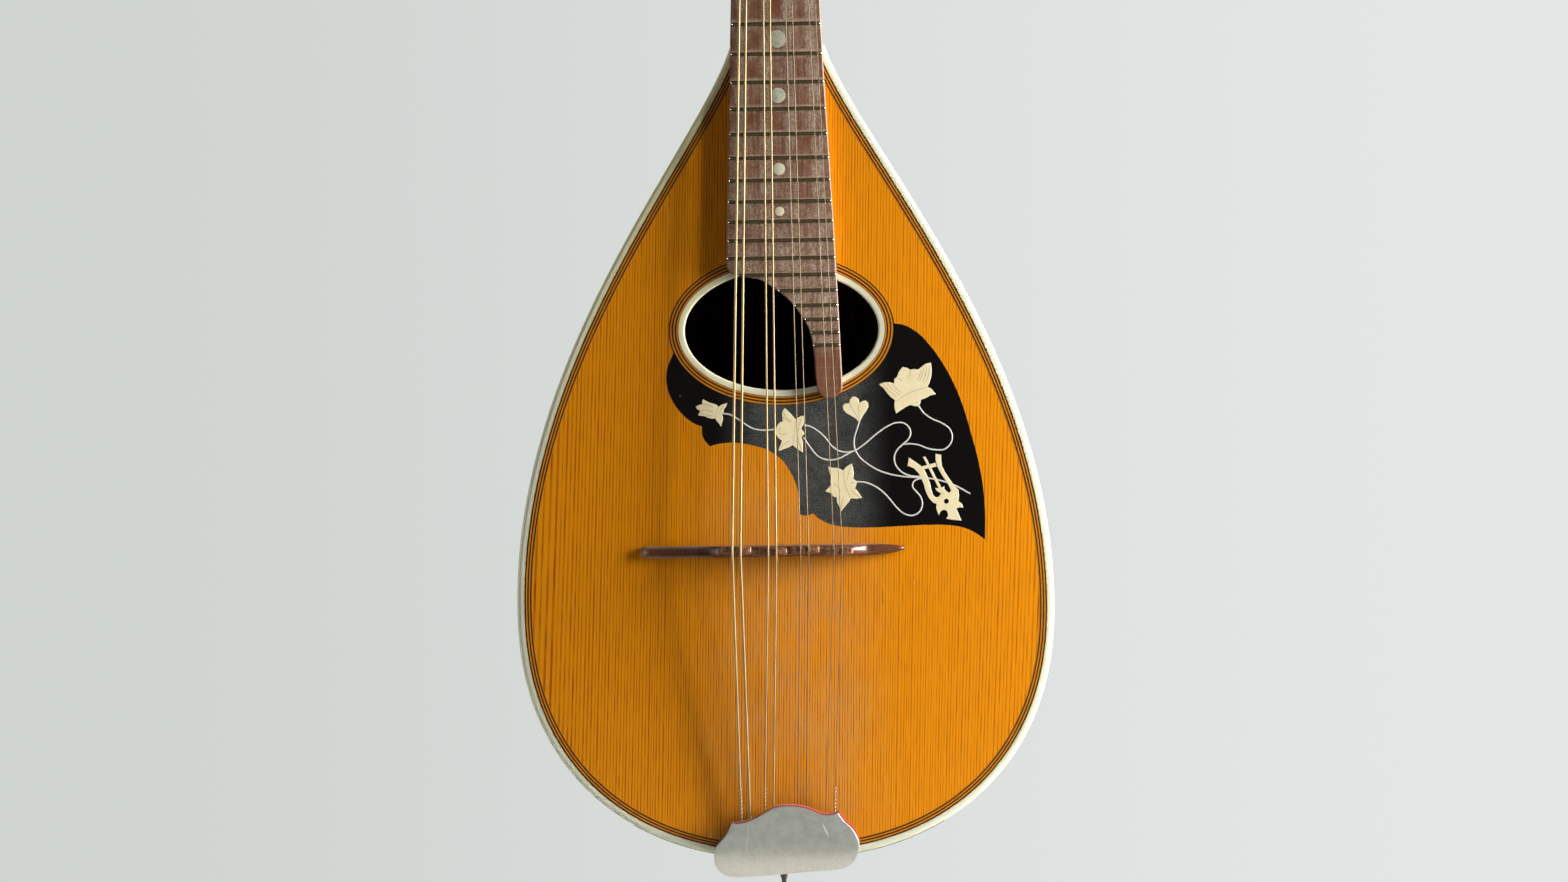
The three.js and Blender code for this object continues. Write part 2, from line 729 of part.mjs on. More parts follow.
function fingerboardOutline() {
  const length = cornerZ - tongueZ
  const half = fingerboardEndWidth / 2
  const edge = tongueEdgeShares.map(([x, share]) => new THREE.Vector2(half * x, cornerZ - length * share))
  const tip = boardHalfWidth(tongueZ)
  const shape = new THREE.Shape()
  shape.moveTo(nutWidth / 2, -gap)
  shape.lineTo(-nutWidth / 2, -gap)
  shape.lineTo(-half, cornerZ)
  shape.lineTo(edge[0].x, edge[0].y)
  shape.splineThru(edge.slice(1))
  shape.quadraticCurveTo(half * tongueTipShares.turn, tongueZ, half * tongueTipShares.middle, tongueZ)
  const rise = tongueZ + length * tongueTipShares.rise
  shape.quadraticCurveTo(tip, tongueZ, boardHalfWidth(rise), rise)
  return shape
}

function addFingerboard() {
  const outline = new THREE.Shape(fingerboardOutline().extractPoints(3).shape)
  const wood = solid(prism(outline, fingerboardFront, fingerboardBack))
  const crown = fingerboardFront - fretHeight
  const root = fingerboardFront + fretHeight / 2
  const bars = Array.from({ length: fretCount }, (_, i) => {
    const z = fretZ(i + 1)
    const profile = [
      [z - fretWidth / 2, root], [z - fretWidth / 4, crown], [z + fretWidth / 4, crown],
      [z + fretWidth / 2, root],
    ].map(([a, b]) => new THREE.Vector2(a, b))
    return solid(beam(profile, -fingerboardEndWidth, fingerboardEndWidth))
  })
  const trimmed = joined(bars).intersect(solid(prism(outline, fingerboardFront - overrun, fingerboardBack)))
  add('fingerboard', wood.add(trimmed), finishes.rosewood)
}

// Places of the strings
function stringPlaces(pairs, spacing) {
  return pairs.flatMap((x) => [x - spacing / 2, x + spacing / 2])
}

const nutPlaces = stringPlaces(nutPairPlaces, nutPairSpacing)
const bridgePlaces = stringPlaces(bridgePairPlaces, bridgePairSpacing)
const hookPlaces = stringPlaces(hookPairPlaces, hookPairSpacing)
const slotFloor = fingerboardFront - fretHeight - nutAction
const nutTop = slotFloor - nutSlotDepth

function addNut() {
  const shape = new THREE.Shape()
  shape.moveTo(0, -gap)
  shape.lineTo(0, nutTop + nutSlotDepth / 3)
  shape.lineTo(nutThickness / 4, nutTop)
  shape.lineTo(nutThickness / 2, nutTop)
  shape.lineTo(nutThickness, nutTop + nutSlotDepth)
  shape.lineTo(nutThickness, -gap)
  const slotDepths = [nutTop - overrun, slotFloor]
  const slots = nutPlaces.map((x) => solid(box(
    [x - nutSlotWidth / 2, x + nutSlotWidth / 2], slotDepths, [-overrun, nutThickness + overrun])))
  add('nut', cut(solid(beam(shape, -nutWidth / 2, nutWidth / 2)), slots), finishes.bone)
}

// Bridge: two low wings and a raised saddle with a stepped land for each pair
const wingShares = [
  [-0.5, 0], [-0.5, 0.14], [-0.475, 0.3], [-0.36, 0.33], [-0.25, 0.38], [-0.2, 0.52], [-0.178, 0.8],
  [-0.17, 1], [0.262, 1], [0.27, 0.8], [0.292, 0.52], [0.34, 0.38], [0.42, 0.33], [0.475, 0.3],
  [0.5, 0.14], [0.5, 0],
]
const saddleTop = -gap - bridgeHeight

function addBridge() {
  const profile = wingShares.map(([x, y]) => new THREE.Vector2(
    bridgeOffset + bridgeLength * x, -gap - (bridgeHeight - saddleLandHeight) * y))
  const low = bridgeZ - bridgeThickness / 2
  const body = solid(slab(profile, low, low + bridgeThickness))
  const lands = bridgePairPlaces.map((x, i) => {
    const z = bridgeZ + bridgeThickness * saddleStepShares[i]
    return solid(box([x - saddleLandWidth / 2, x + saddleLandWidth / 2],
      [saddleTop, saddleTop + 2 * saddleLandHeight], [z - saddleLandDepth / 2, z + saddleLandDepth / 2]))
  })
  add('bridge', joined([body, ...lands]), finishes.rosewood)
}

// Tailpiece plate: lies on the soundboard, turns over the tail and carries one hook a string
const plateOuterZ = tailZ - 2 * gap - claspThickness
const plateFrontZ = tailZ + plateFrontFromTail

function plateFace(z, height) {
  return cantDrop(z) - gap - height
}

function addTailPlate() {
  const t = tailPlateThickness
  const drop = cantDrop(tailZ) + tailPlateDrop
  const profile = [
    [plateFrontZ, plateFace(plateFrontZ, t)], [plateOuterZ - t, plateFace(plateOuterZ, t)],
    [plateOuterZ - t, drop], [plateOuterZ, drop], [plateOuterZ, plateFace(plateOuterZ, 0)],
    [plateFrontZ, plateFace(plateFrontZ, 0)],
  ].map(([z, y]) => new THREE.Vector2(z, y))
  const sheet = solid(beam(profile, coverOffset - tailPlateWidth / 2, coverOffset + tailPlateWidth / 2))
  const z = hookZ
  const top = plateFace(z, t + hookHeight)
  const hook = [
    [z, plateFace(z, t / 2)], [z, top], [z - hookLength, top],
    [z - hookLength, top + t * 0.8], [z - t, top + t * 0.8], [z - t, plateFace(z - t, t / 2)],
  ].map(([a, b]) => new THREE.Vector2(a, b))
  const hooks = hookPlaces.map((x) => solid(beam(hook, x - hookWidth / 2, x + hookWidth / 2)))
  add('tailpiece_plate', joined([sheet, ...hooks]), finishes.nickel)
}

const hookZ = tailZ + plateFrontFromTail / 2

// Tailpiece cover: a pressed shell with two horns towards the bridge, rounded over the tail, open
// below and under its front edge. Points are shares of its width and length from its middle.
const coverFrontShares = [
  [-0.36, 0.32], [-0.29, 0.31], [-0.2, 0.37], [-0.08, 0.48], [0.02, 0.5], [0.115, 0.47], [0.21, 0.37],
  [0.27, 0.33], [0.38, 0.34],
]
const coverTailShares = [
  [0.38, 0.34], [0.44, 0.17], [0.5, -0.05], [0.495, -0.26], [0.45, -0.4], [0.36, -0.48], [0.2, -0.495],
  [-0.1, -0.5], [-0.34, -0.5], [-0.44, -0.44], [-0.49, -0.32], [-0.5, -0.14], [-0.46, 0.06], [-0.41, 0.16],
  [-0.36, 0.32],
]
const coverTop = gap + coverHeight
const coverMiddleZ = -(cantZ - tailZ) / Math.cos(THREE.MathUtils.degToRad(cantAngle)) - coverPastTail
  + coverLength / 2

function coverOutline(wall) {
  const middle = new THREE.Vector2(coverOffset, coverMiddleZ)
  return [coverFrontShares, coverTailShares].flatMap((shares) => {
    const points = shares.map(([x, z]) => new THREE.Vector2(
      middle.x + (coverWidth - 2 * wall) * x, middle.y + (coverLength - 2 * wall) * z)
      .rotateAround(middle, THREE.MathUtils.degToRad(coverTurn)))
    return new THREE.SplineCurve(points).getPoints(2 * points.length - 2).slice(0, -1)
  })
}

// The space behind the cover's face, moved in by a wall: flat, then rounded over the tail
function behindCover(wall) {
  const edge = coverMiddleZ - coverLength / 2 + wall
  const face = wall - coverTop
  const radius = coverBend - wall
  const steps = 8
  const bend = Array.from({ length: steps + 1 }, (_, i) => {
    const turn = i / steps * Math.PI / 2
    return new THREE.Vector2(edge + radius * (1 - Math.cos(turn)), face + radius * (1 - Math.sin(turn)))
  })
  const back = coverSkirt + 2 * overrun
  const front = edge + 2 * coverLength
  const profile = [...bend, [front, face], [front, back], [edge, back]]
    .map((point) => point.isVector2 ? point : new THREE.Vector2(...point))
  const space = beam(profile, -coverWidth, coverWidth).translate(0, 0, -coverMiddleZ)
  return solid(space.rotateY(-THREE.MathUtils.degToRad(coverTurn)).translate(coverOffset, 0, coverMiddleZ))
}

function tailGroup() {
  const group = new THREE.Group()
  group.position.z = cantZ
  group.rotation.x = THREE.MathUtils.degToRad(cantAngle)
  mandolin.add(group)
  return group
}

function addCover(tail) {
  const tailEdge = coverMiddleZ - coverLength / 2 + coverPastTail
  const above = solid(prism(coverOutline(0), -coverTop, coverSkirt)).intersect(behindCover(0))
  const hollow = solid(prism(coverOutline(coverWall), -coverTop + coverWall, coverSkirt + overrun))
  const inside = hollow.intersect(behindCover(coverWall))
  const overBoard = solid(box([-bodyWidth, bodyWidth], [-2 * gap, coverSkirt + overrun],
    [tailEdge - claspThickness - 4 * gap - tailPlateThickness, tailEdge + coverLength + overrun]))
  const mouthTop = -coverTop + 1.5 * coverWall
  const mouthHalf = coverWidth * coverMouthShare / 2
  const mouthSpan = [coverOffset - mouthHalf, coverOffset + mouthHalf]
  const mouthReach = [tailEdge + plateFrontFromTail - 2 * coverWall, tailEdge + coverLength + overrun]
  const mouth = solid(box(mouthSpan, [mouthTop, overrun], mouthReach))
  add('tailpiece_cover', cut(above, [inside, overBoard, mouth]), finishes.nickel, tail)

  const feltFront = coverTop - coverWall - gap
  const felt = solid(prism(coverOutline(coverWall + gap), -feltFront, -feltFront + feltThickness))
  const lip = solid(prism(coverOutline(-gap), mouthTop + gap, -feltFront + feltThickness))
  const lipSpan = solid(box([mouthSpan[0] + gap, mouthSpan[1] - gap], [-coverTop, overrun], mouthReach))
  const pad = felt.add(lip.intersect(lipSpan)).intersect(behindCover(coverWall + gap))
  add('cover_felt', pad, finishes.felt, tail)
}

// Radius and height of the pin's knob, as shares of its full radius and height
const knobShares = [[1, 0], [0.6, 0.35], [0.6, 0.5], [1, 0.8], [0.9, 1]]

function addEndPin() {
  const underHead = claspPoint(0, pinDepth - boardThickness - pinRadius, claspThickness + 2 * gap)
  const seat = tailZ - underHead.z
  const profile = [
    [0, -tailBlockThickness], [pinStemRadius, -tailBlockThickness], [pinStemRadius, seat],
    ...knobShares.map(([radius, height]) => [pinRadius * radius, seat + pinHeight * height]),
    [0, seat + pinHeight],
  ]
  add('end_pin', turned(profile, 14).rotateX(-Math.PI / 2).translate(0, pinY, tailZ), finishes.ebony)
}

// Tuning machines, in the head's own frame: x across, y back, z up the head
const plateY = headThickness + gap
const wormY = plateY + plateThickness + gap + wormRadius
const wormCore = wormRadius - threadHeight
const gearTipRadius = meshDistance - wormCore - meshClearance
const gearRootRadius = meshDistance - wormRadius - meshClearance
const wormPitchRadius = wormRadius - threadHeight / 2
const gearPitchRadius = meshDistance - wormPitchRadius
const wormPitch = 2 * Math.PI * gearPitchRadius / gearTeeth
const wormHalf = wormPitch * (wormTurns + 1) / 2
const lugInner = wormHalf + gap
const buttonStart = headWidth / 2 - postFromCentre + buttonFromHead

// A round of teeth with a space towards the worm, turned with depth to match the worm's lead
function gearRing(y) {
  const lead = wormPitch / (2 * Math.PI * wormPitchRadius)
  const twist = lead * (y - wormY) / gearPitchRadius
  const spacing = 2 * Math.PI / gearTeeth
  const [root, tip] = gearToothShares
  const corners = [
    [-root, gearRootRadius], [-tip, gearTipRadius], [tip, gearTipRadius], [root, gearRootRadius],
  ]
  return Array.from({ length: gearTeeth }, (_, k) => corners.map(([share, radius]) => {
    const angle = (k + 0.5 + share / 2) * spacing + twist
    return new THREE.Vector3(radius * Math.sin(angle), y, radius * Math.cos(angle))
  })).flat()
}

// Rounding of the post's tip and the ends of its waist, as shares of its height
const postTipShares = [0.2, 0.33]
const postWaistShares = [0.7, 0.85]

function postShape() {
  const tip = -gap - veneerThickness - postHeight
  const gearFront = wormY - gearThickness / 2
  const gearBack = wormY + gearThickness / 2
  const [rounding, waistStart] = postTipShares.map((share) => tip + postHeight * share)
  const [waistEnd, foot] = postWaistShares.map((share) => tip + postHeight * share)
  const shaft = [
    [0, tip], [postWaistRadius, tip], [postRadius, rounding],
    [postWaistRadius, waistStart], [postWaistRadius, waistEnd],
    [postRadius, foot], [postRadius, wormY],
    [postWaistRadius, gearBack + gap * 3], [0, gearBack + gap * 3],
  ]
  return solid(turned(shaft, 8)).add(solid(loft([gearRing(gearFront), gearRing(gearBack)])))
}

// The worm: a rod along x whose rows follow the thread, with a plain pitch at each end
function wormThread() {
  const sides = 8
  const [base, crest] = threadShares
  const rows = [[-base / 2, 0], [-crest / 2, threadHeight], [crest / 2, threadHeight], [base / 2, 0]]
  const pitches = wormTurns + 2
  const vertex = (side, row) => {
    const turn = Math.floor(row / rows.length)
    const [share, height] = rows[row % rows.length]
    const threaded = turn > 0 && turn < pitches - 1
    const angle = (side / sides + 0.25) * 2 * Math.PI
    const x = wormPitch * (turn - pitches / 2 + share + side / sides)
    const radius = wormCore + (threaded ? height : 0)
    return new THREE.Vector3(x, radius * Math.cos(angle), radius * Math.sin(angle))
  }
  const rowCount = rows.length * (pitches - 1)
  const points = []
  const place = (side, row) => (side === sides ? [0, row + rows.length] : [side, row])
  const key = (side, row) => {
    const [s, r] = place(side, row)
    return s * (rowCount + rows.length) + r
  }
  for (let side = 0; side < sides; side++) {
    for (let row = 0; row < rowCount + rows.length; row++) points.push(vertex(side, row))
  }
  const lastOfFirstSide = points[rowCount + rows.length - 1]
  const lowEnd = points.push(new THREE.Vector3(points[0].x - wormPitch / 4, 0, 0)) - 1
  const highEnd = points.push(new THREE.Vector3(lastOfFirstSide.x + wormPitch / 4, 0, 0)) - 1
  const index = []
  for (let side = 0; side < sides; side++) {
    for (let row = 0; row < rowCount - 1; row++) {
      const [a, b, c, d] = [key(side, row), key(side, row + 1), key(side + 1, row), key(side + 1, row + 1)]
      index.push(a, c, b, b, c, d)
    }
    index.push(lowEnd, key(side + 1, 0), key(side, 0))
    index.push(highEnd, key(side, rowCount - 1), key(side + 1, rowCount - 1))
  }
  for (let row = 0; row < rows.length; row++) {
    index.push(lowEnd, row, row + 1)
    index.push(highEnd, rowCount + row, rowCount + row - 1)
  }
  const geometry = new THREE.BufferGeometry()
  geometry.setFromPoints(points)
  geometry.setIndex(index)
  return solid(geometry)
}

// Radius and place along the button, as shares of its half width and length
const buttonShares = [[0.34, 0], [0.4, 0.16], [0.9, 0.45], [1, 0.7], [0.75, 1]]

function keyShape() {
  const inner = -lugInner - lugThickness - gap
  const collar = buttonStart
  const shaft = [
    [0, inner], [shaftRadius, inner],
    [shaftRadius, -wormHalf], [wormCore / 2, -wormHalf], [wormCore / 2, wormHalf],
    [shaftRadius, wormHalf], [shaftRadius, collar + shaftRadius], [0, collar + shaftRadius],
  ]
  const button = [
    [0, collar],
    ...buttonShares.map(([radius, along]) => [radius * buttonWidth / 2, collar + buttonLength * along]),
    [0, collar + buttonLength],
  ]
  const rod = turned(shaft, 6).rotateZ(-Math.PI / 2)
  const grip = turned(button, 8).rotateZ(-Math.PI / 2).scale(1, buttonFlatShare, 1)
  return joined([solid(rod), wormThread(), solid(grip)])
}

function addTuningPlate(head, side, name) {
  const low = machinePlaces[0] - plateEndLength
  const high = machinePlaces.at(-1) + meshDistance + plateEndLength / 2
  const centre = side * postFromCentre
  const corner = plateWidth / 4
  const shape = new THREE.Shape()
  shape.moveTo(centre - plateWidth / 2, low + corner)
  shape.quadraticCurveTo(centre - plateWidth / 2, low, centre, low)
  shape.quadraticCurveTo(centre + plateWidth / 2, low, centre + plateWidth / 2, low + corner)
  shape.lineTo(centre + plateWidth / 2, high - corner)
  shape.quadraticCurveTo(centre + plateWidth / 2, high, centre, high)
  shape.quadraticCurveTo(centre - plateWidth / 2, high, centre - plateWidth / 2, high - corner)
  const sheet = solid(prism(new THREE.Shape(shape.extractPoints(4).shape), plateY, plateY + plateThickness))
  const lugs = []
  const holes = []
  for (const z of machinePlaces) {
    const wormZ = z + meshDistance
    const profile = new THREE.Shape()
    profile.moveTo(wormZ - lugWidth / 2, plateY + plateThickness / 2)
    profile.lineTo(wormZ + lugWidth / 2, plateY + plateThickness / 2)
    profile.lineTo(wormZ + lugWidth / 2, wormY)
    profile.absarc(wormZ, wormY, lugWidth / 2, 0, Math.PI)
    for (const end of [-1, 1]) {
      const near = centre + end * lugInner
      const far = near + end * lugThickness
      lugs.push(solid(beam(profile, Math.min(near, far), Math.max(near, far))))
    }
    const bore = new THREE.CylinderGeometry(shaftRadius + gap, shaftRadius + gap, headWidth, 6)
    holes.push(solid(bore.rotateZ(Math.PI / 2).translate(centre, wormY, wormZ)))
    holes.push(solid(bar(postRadius + postClearance, plateY - overrun, plateY + overrun / 2, centre, z)))
  }
  add(name, cut(joined([sheet, ...lugs]), holes), finishes.brass, head)
}

// Strings go to the posts in this order, nearest post first on each side.
const postOrder = [0, 1, 2, 3, 3, 2, 1, 0]

function addMachines(head) {
  addTuningPlate(head, -1, 'tuner_plate_bass')
  addTuningPlate(head, 1, 'tuner_plate_treble')
  const post = geometryOf(postShape())
  const key = geometryOf(keyShape())
  nutPlaces.forEach((_, i) => {
    const side = i < nutPlaces.length / 2 ? -1 : 1
    const name = pairNames[Math.floor(i / 2)] + (i % 2 + 1)
    const z = machinePlaces[postOrder[i]]
    const postMesh = add(`string_post_${name}`, post.clone(), finishes.steel, head)
    postMesh.position.set(side * postFromCentre, 0, z)
    const keyMesh = add(`tuner_key_${name}`, key.clone(), finishes.bone, head)
    keyMesh.position.set(side * postFromCentre, wormY, z + meshDistance)
    if (side < 0) keyMesh.rotation.z = Math.PI
  })
}

// Strings
function wire(points, radius) {
  const turns = Array.from({ length: stringSides }, (_, i) => i * 2 * Math.PI / stringSides)
  const across = new THREE.Vector3(1, 0, 0)
  const rings = points.map((point, i) => {
    const before = points[Math.max(0, i - 1)]
    const after = points[Math.min(points.length - 1, i + 1)]
    const along = after.clone().sub(before).normalize()
    const up = along.clone().cross(across).normalize()
    const side = up.clone().cross(along)
    return turns.map((turn) => point.clone()
      .addScaledVector(side, radius * Math.cos(turn))
      .addScaledVector(up, radius * Math.sin(turn)))
  })
  return loft(rings)
}

function addStrings(head) {
  nutPlaces.forEach((nutX, i) => {
    const radius = stringRadii[Math.floor(i / 2)]
    const side = i < nutPlaces.length / 2 ? -1 : 1
    const name = pairNames[Math.floor(i / 2)] + (i % 2 + 1)
    const lift = gap + radius
    const postX = side * (postFromCentre - postRadius - lift - radius)
    const postZ = machinePlaces[postOrder[i]] - postRadius
    const postY = -gap - veneerThickness - postHeight * 0.4
    const route = [
      new THREE.Vector3(hookPlaces[i], plateFace(hookZ, tailPlateThickness + hookHeight / 2), hookZ + lift),
      new THREE.Vector3(bridgePlaces[i], saddleTop - lift, bridgeZ - bridgeThickness / 2),
      new THREE.Vector3(bridgePlaces[i], saddleTop - lift, bridgeZ + bridgeThickness / 2),
      new THREE.Vector3(nutX, slotFloor - lift, 0),
      new THREE.Vector3(nutX, slotFloor - lift, nutThickness + gap),
      new THREE.Vector3(postX, postY, postZ).applyMatrix4(head.matrixWorld),
    ]
    add(`string_${name}`, wire(route, radius), i < nutPlaces.length / 2 ? finishes.bronze : finishes.steel)
  })
}

const head = headGroup()
const tail = tailGroup()
mandolin.updateMatrixWorld(true)
addBowl()
addClasp()
addSoundboard()
addInside()
addNeck(head)
addFingerboard()
addNut()
addBridge()
addTailPlate()
addCover(tail)
addEndPin()
addMachines(head)
addStrings(head)

export default mandolin
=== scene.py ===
import math

import bmesh
import bpy
import numpy as np
from mathutils import Matrix, Vector


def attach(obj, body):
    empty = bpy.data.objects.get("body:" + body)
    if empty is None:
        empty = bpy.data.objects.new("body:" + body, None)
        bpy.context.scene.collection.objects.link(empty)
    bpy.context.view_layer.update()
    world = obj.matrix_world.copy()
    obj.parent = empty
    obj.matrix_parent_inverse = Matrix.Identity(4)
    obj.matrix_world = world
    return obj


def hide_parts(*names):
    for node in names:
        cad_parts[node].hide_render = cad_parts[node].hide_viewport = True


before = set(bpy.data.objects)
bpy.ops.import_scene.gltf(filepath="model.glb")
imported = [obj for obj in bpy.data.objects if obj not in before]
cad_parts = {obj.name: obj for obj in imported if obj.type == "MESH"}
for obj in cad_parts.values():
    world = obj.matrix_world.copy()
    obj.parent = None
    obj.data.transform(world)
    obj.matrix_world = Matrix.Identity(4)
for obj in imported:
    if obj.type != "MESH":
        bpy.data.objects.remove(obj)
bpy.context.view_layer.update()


# Camera
# A long lens square to the soundboard. The photograph leans by 0.9 degrees, and one of its
# pixels is 0.38 mm of the soundboard's face. Lengths in this file are in mm, but those of lamps
# and in materials are in metres.
pixel = 0.38
photo_width = 1568
lean = math.radians(0.9)
lens_distance = 2200
# The picture is turned back about a point on the centre line, inside the soundhole.
pivot_pixel, pivot_z = (781.5, 331), -254.5


def close_up(points, corner=(0, 0), zoom=1):
    """Pixels of an enlarged corner of the photograph as x and z in mm: brought back to
    the whole picture, then turned back by the lean about the pivot."""
    across, down = (np.array(points, float) / zoom + corner - pivot_pixel).T * pixel
    x = across * math.cos(lean) - down * math.sin(lean)
    z = pivot_z - down * math.cos(lean) - across * math.sin(lean)
    return np.stack([x, z], axis=-1)


axis = close_up([(photo_width / 2, 441)])[0]
camera_x, camera_z = axis / 1000


def seen_at(plan, y):
    """Points found on the soundboard's plane, moved along their lines of sight to a depth."""
    return axis + (plan - axis) * (1 + np.asarray(y)[..., None] / lens_distance)


lens = bpy.data.cameras.new("camera")
lens.sensor_width = 36
lens.lens = lens.sensor_width * lens_distance / (photo_width * pixel)
camera = bpy.data.objects.new("camera", lens)
camera.matrix_world = Matrix((
    (math.cos(lean), math.sin(lean), 0, camera_x),
    (0, 0, -1, -lens_distance / 1000),
    (-math.sin(lean), math.cos(lean), 0, camera_z),
    (0, 0, 0, 1),
))
bpy.context.collection.objects.link(camera)
bpy.context.scene.camera = camera
bpy.context.scene.view_settings.view_transform = "Standard"


# Room
# A pale grey room, a little lighter on the treble side, and a pale floor below the tail. The main
# lamp stands close on the treble side and so low over the soundboard that the neck shades it.
def linear(hex_colour):
    """An sRGB hex colour as linear red, green, blue and alpha, by the sRGB curve."""
    rgb = np.array([int(hex_colour[i:i + 2], 16) for i in (1, 3, 5)]) / 255
    curve = np.where(rgb <= 0.04045, rgb / 12.92, ((rgb + 0.055) / 1.055) ** 2.4)
    return (*(float(part) for part in curve), 1.0)


def live(sockets, name=None):
    """The first socket that is in use, or the one in use that has the name."""
    return next(socket for socket in sockets if socket.enabled and name in (None, socket.name))


def feed(tree, node, inputs):
    """Sets a node's inputs, by name or by place. Each takes an sRGB hex colour, a plain value,
    another node's first output in use, or a node with the name of its output. A range's From
    and To each take their two ends."""
    for name, value in inputs.items():
        if name in ("From", "To"):
            feed(tree, node, {f"{name} Min": value[0], f"{name} Max": value[1]})
            continue
        socket = node.inputs[name] if isinstance(name, int) else live(node.inputs, name)
        source = value if isinstance(value, tuple) else (value,)
        if isinstance(source[0], bpy.types.Node):
            tree.links.new(live(source[0].outputs, *source[1:]), socket)
        else:
            socket.default_value = linear(value) if isinstance(value, str) else value


def add(tree, kind, inputs=None, **settings):
    """One node with its settings and its inputs. Every Mix node here mixes colours."""
    made = tree.nodes.new("ShaderNode" + kind)
    if kind == "Mix":
        made.data_type = "RGBA"
    for name, value in settings.items():
        setattr(made, name, value)
    feed(tree, made, inputs or {})
    return made


def finish(name, colour, roughness, metallic=0.0, **constants):
    """A material with its shader's constants set. Returns it, its nodes, the shader, and the
    output that gives the place on the object."""
    made = bpy.data.materials.new(name)
    made.use_nodes = True
    tree = made.node_tree
    shader = tree.nodes["Principled BSDF"]
    set_by_name = {key.replace("_", " "): value for key, value in constants.items()}
    feed(tree, shader, {"Base Color": colour, "Roughness": roughness, "Metallic": metallic, **set_by_name})
    return made, tree, shader, (add(tree, "TexCoord"), "Object")


world = bpy.data.worlds.new("room")
bpy.context.scene.world = world
world.use_nodes = True
sky = world.node_tree
ray = add(sky, "LightPath")
seen = add(sky, "Math", {0: (ray, "Is Camera Ray"), 1: (ray, "Is Transmission Ray")}, operation="MAXIMUM")
way = add(sky, "TexCoord")
parts = add(sky, "SeparateXYZ", {"Vector": (way, "Generated")})
# The backdrop seen by the camera is painted lighter towards the treble side: painted light, as if the main
# lamp lit it.
side = add(sky, "MapRange", {"Value": (parts, "X"), "From": (-0.14, 0.14)}, interpolation_type="SMOOTHSTEP")
grey = add(sky, "Mix", {"Factor": side, "A": "#CFD4D1", "B": "#E4E7E6"})
pale = add(sky, "Background", {"Color": grey, "Strength": 1.0})
# Metal mirrors a dim room with a bright floor. Everything else gets only a little light from it.
low = add(sky, "MapRange", {"Value": (parts, "Z"), "From": (0.0, -0.6), "To": (0.2, 0.9)})
shine = add(sky, "Math", {0: (ray, "Is Glossy Ray"), 1: low}, operation="MULTIPLY")
least = add(sky, "Math", {0: shine, 1: 0.04}, operation="MAXIMUM")
dim = add(sky, "Background", {"Color": "#F4F2EC", "Strength": least})
both = add(sky, "MixShader", {0: seen, 1: dim, 2: pale})
feed(sky, sky.nodes["World Output"], {"Surface": both})


def lamp(name, place, size, watts, aim=(0, 0, -0.3), spread=180):
    """A soft lamp of a width and a height, at a place in metres, turned to face its aim. A
    narrower spread in degrees keeps its light off the floor."""
    light = bpy.data.lights.new(name, "AREA")
    light.shape, light.energy = "RECTANGLE", watts
    light.size, light.size_y = size
    light.spread = math.radians(spread)
    holder = bpy.data.objects.new(name, light)
    facing = (Vector(place) - Vector(aim)).to_track_quat("Z", "Y").to_matrix().to_4x4()
    holder.matrix_world = Matrix.Translation(place) @ facing
    holder.visible_camera = False
    bpy.context.collection.objects.link(holder)


lamp("main_lamp", (0.78, -0.2, -0.16), (0.22, 0.5), 5.7, spread=95)
lamp("side_lamp", (-1.1, -0.07, -0.3), (0.4, 0.6), 3)
lamp("front_lamp", (-0.5, -2.3, 1.0), (1.6, 1.6), 2.5)
lamp("back_lamp", (-1.2, 1.6, 0.8), (1.4, 1.4), 10)


def grid(points, around=False, ring=False, ends=False, marks=None):
    """Quads between neighbours on rows and columns of points. around joins each row's last
    point to its first, ring joins the last row to the first, and ends closes both end rows."""
    rows, columns = points.shape[:2]
    r, c = np.meshgrid(np.arange(rows - (not ring)), np.arange(columns - (not around)), indexing="ij")
    r2, c2 = (r + 1) % rows, (c + 1) % columns
    quads = np.stack([r * columns + c, r * columns + c2, r2 * columns + c2, r2 * columns + c], -1)
    caps = [np.arange(columns)[::-1], (rows - 1) * columns + np.arange(columns)] if ends else []
    return {"points": points.reshape(-1, 3), "quads": quads.reshape(-1, 4), "caps": caps,
            "marks": marks or {}}


def make(name, skins, material, smooth=35):
    """One mesh object from skins in mm, its faces turned outwards, smooth but for the edges
    that are sharper than the angle. Marks become attributes of its points."""
    skins = skins if isinstance(skins, list) else [skins]
    starts = np.cumsum([0] + [len(skin["points"]) for skin in skins])
    faces = []
    for skin, start in zip(skins, starts):
        faces += (skin["quads"] + start).tolist() + [(cap + start).tolist() for cap in skin["caps"]]
    mesh = bpy.data.meshes.new(name)
    mesh.from_pydata(np.vstack([skin["points"] for skin in skins]) / 1000, [], faces)
    for mark in skins[0]["marks"]:
        values = np.concatenate([np.ravel(skin["marks"][mark]) for skin in skins])
        mesh.attributes.new(mark, "FLOAT", "POINT").data.foreach_set("value", values)
    form = bmesh.new()
    form.from_mesh(mesh)
    bmesh.ops.recalc_face_normals(form, faces=form.faces)
    form.to_mesh(mesh)
    form.free()
    mesh.shade_smooth()
    mesh.set_sharp_from_angle(angle=math.radians(smooth))
    mesh.materials.append(material)
    made = bpy.data.objects.new(name, mesh)
    bpy.context.collection.objects.link(made)
    return made


def fit(made, body, slot, *stands_for):
    """Rides a piece on its body and hides the solids that it stands for. Its slot is not used."""
    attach(made, body)
    if stands_for:
        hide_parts(*stands_for)


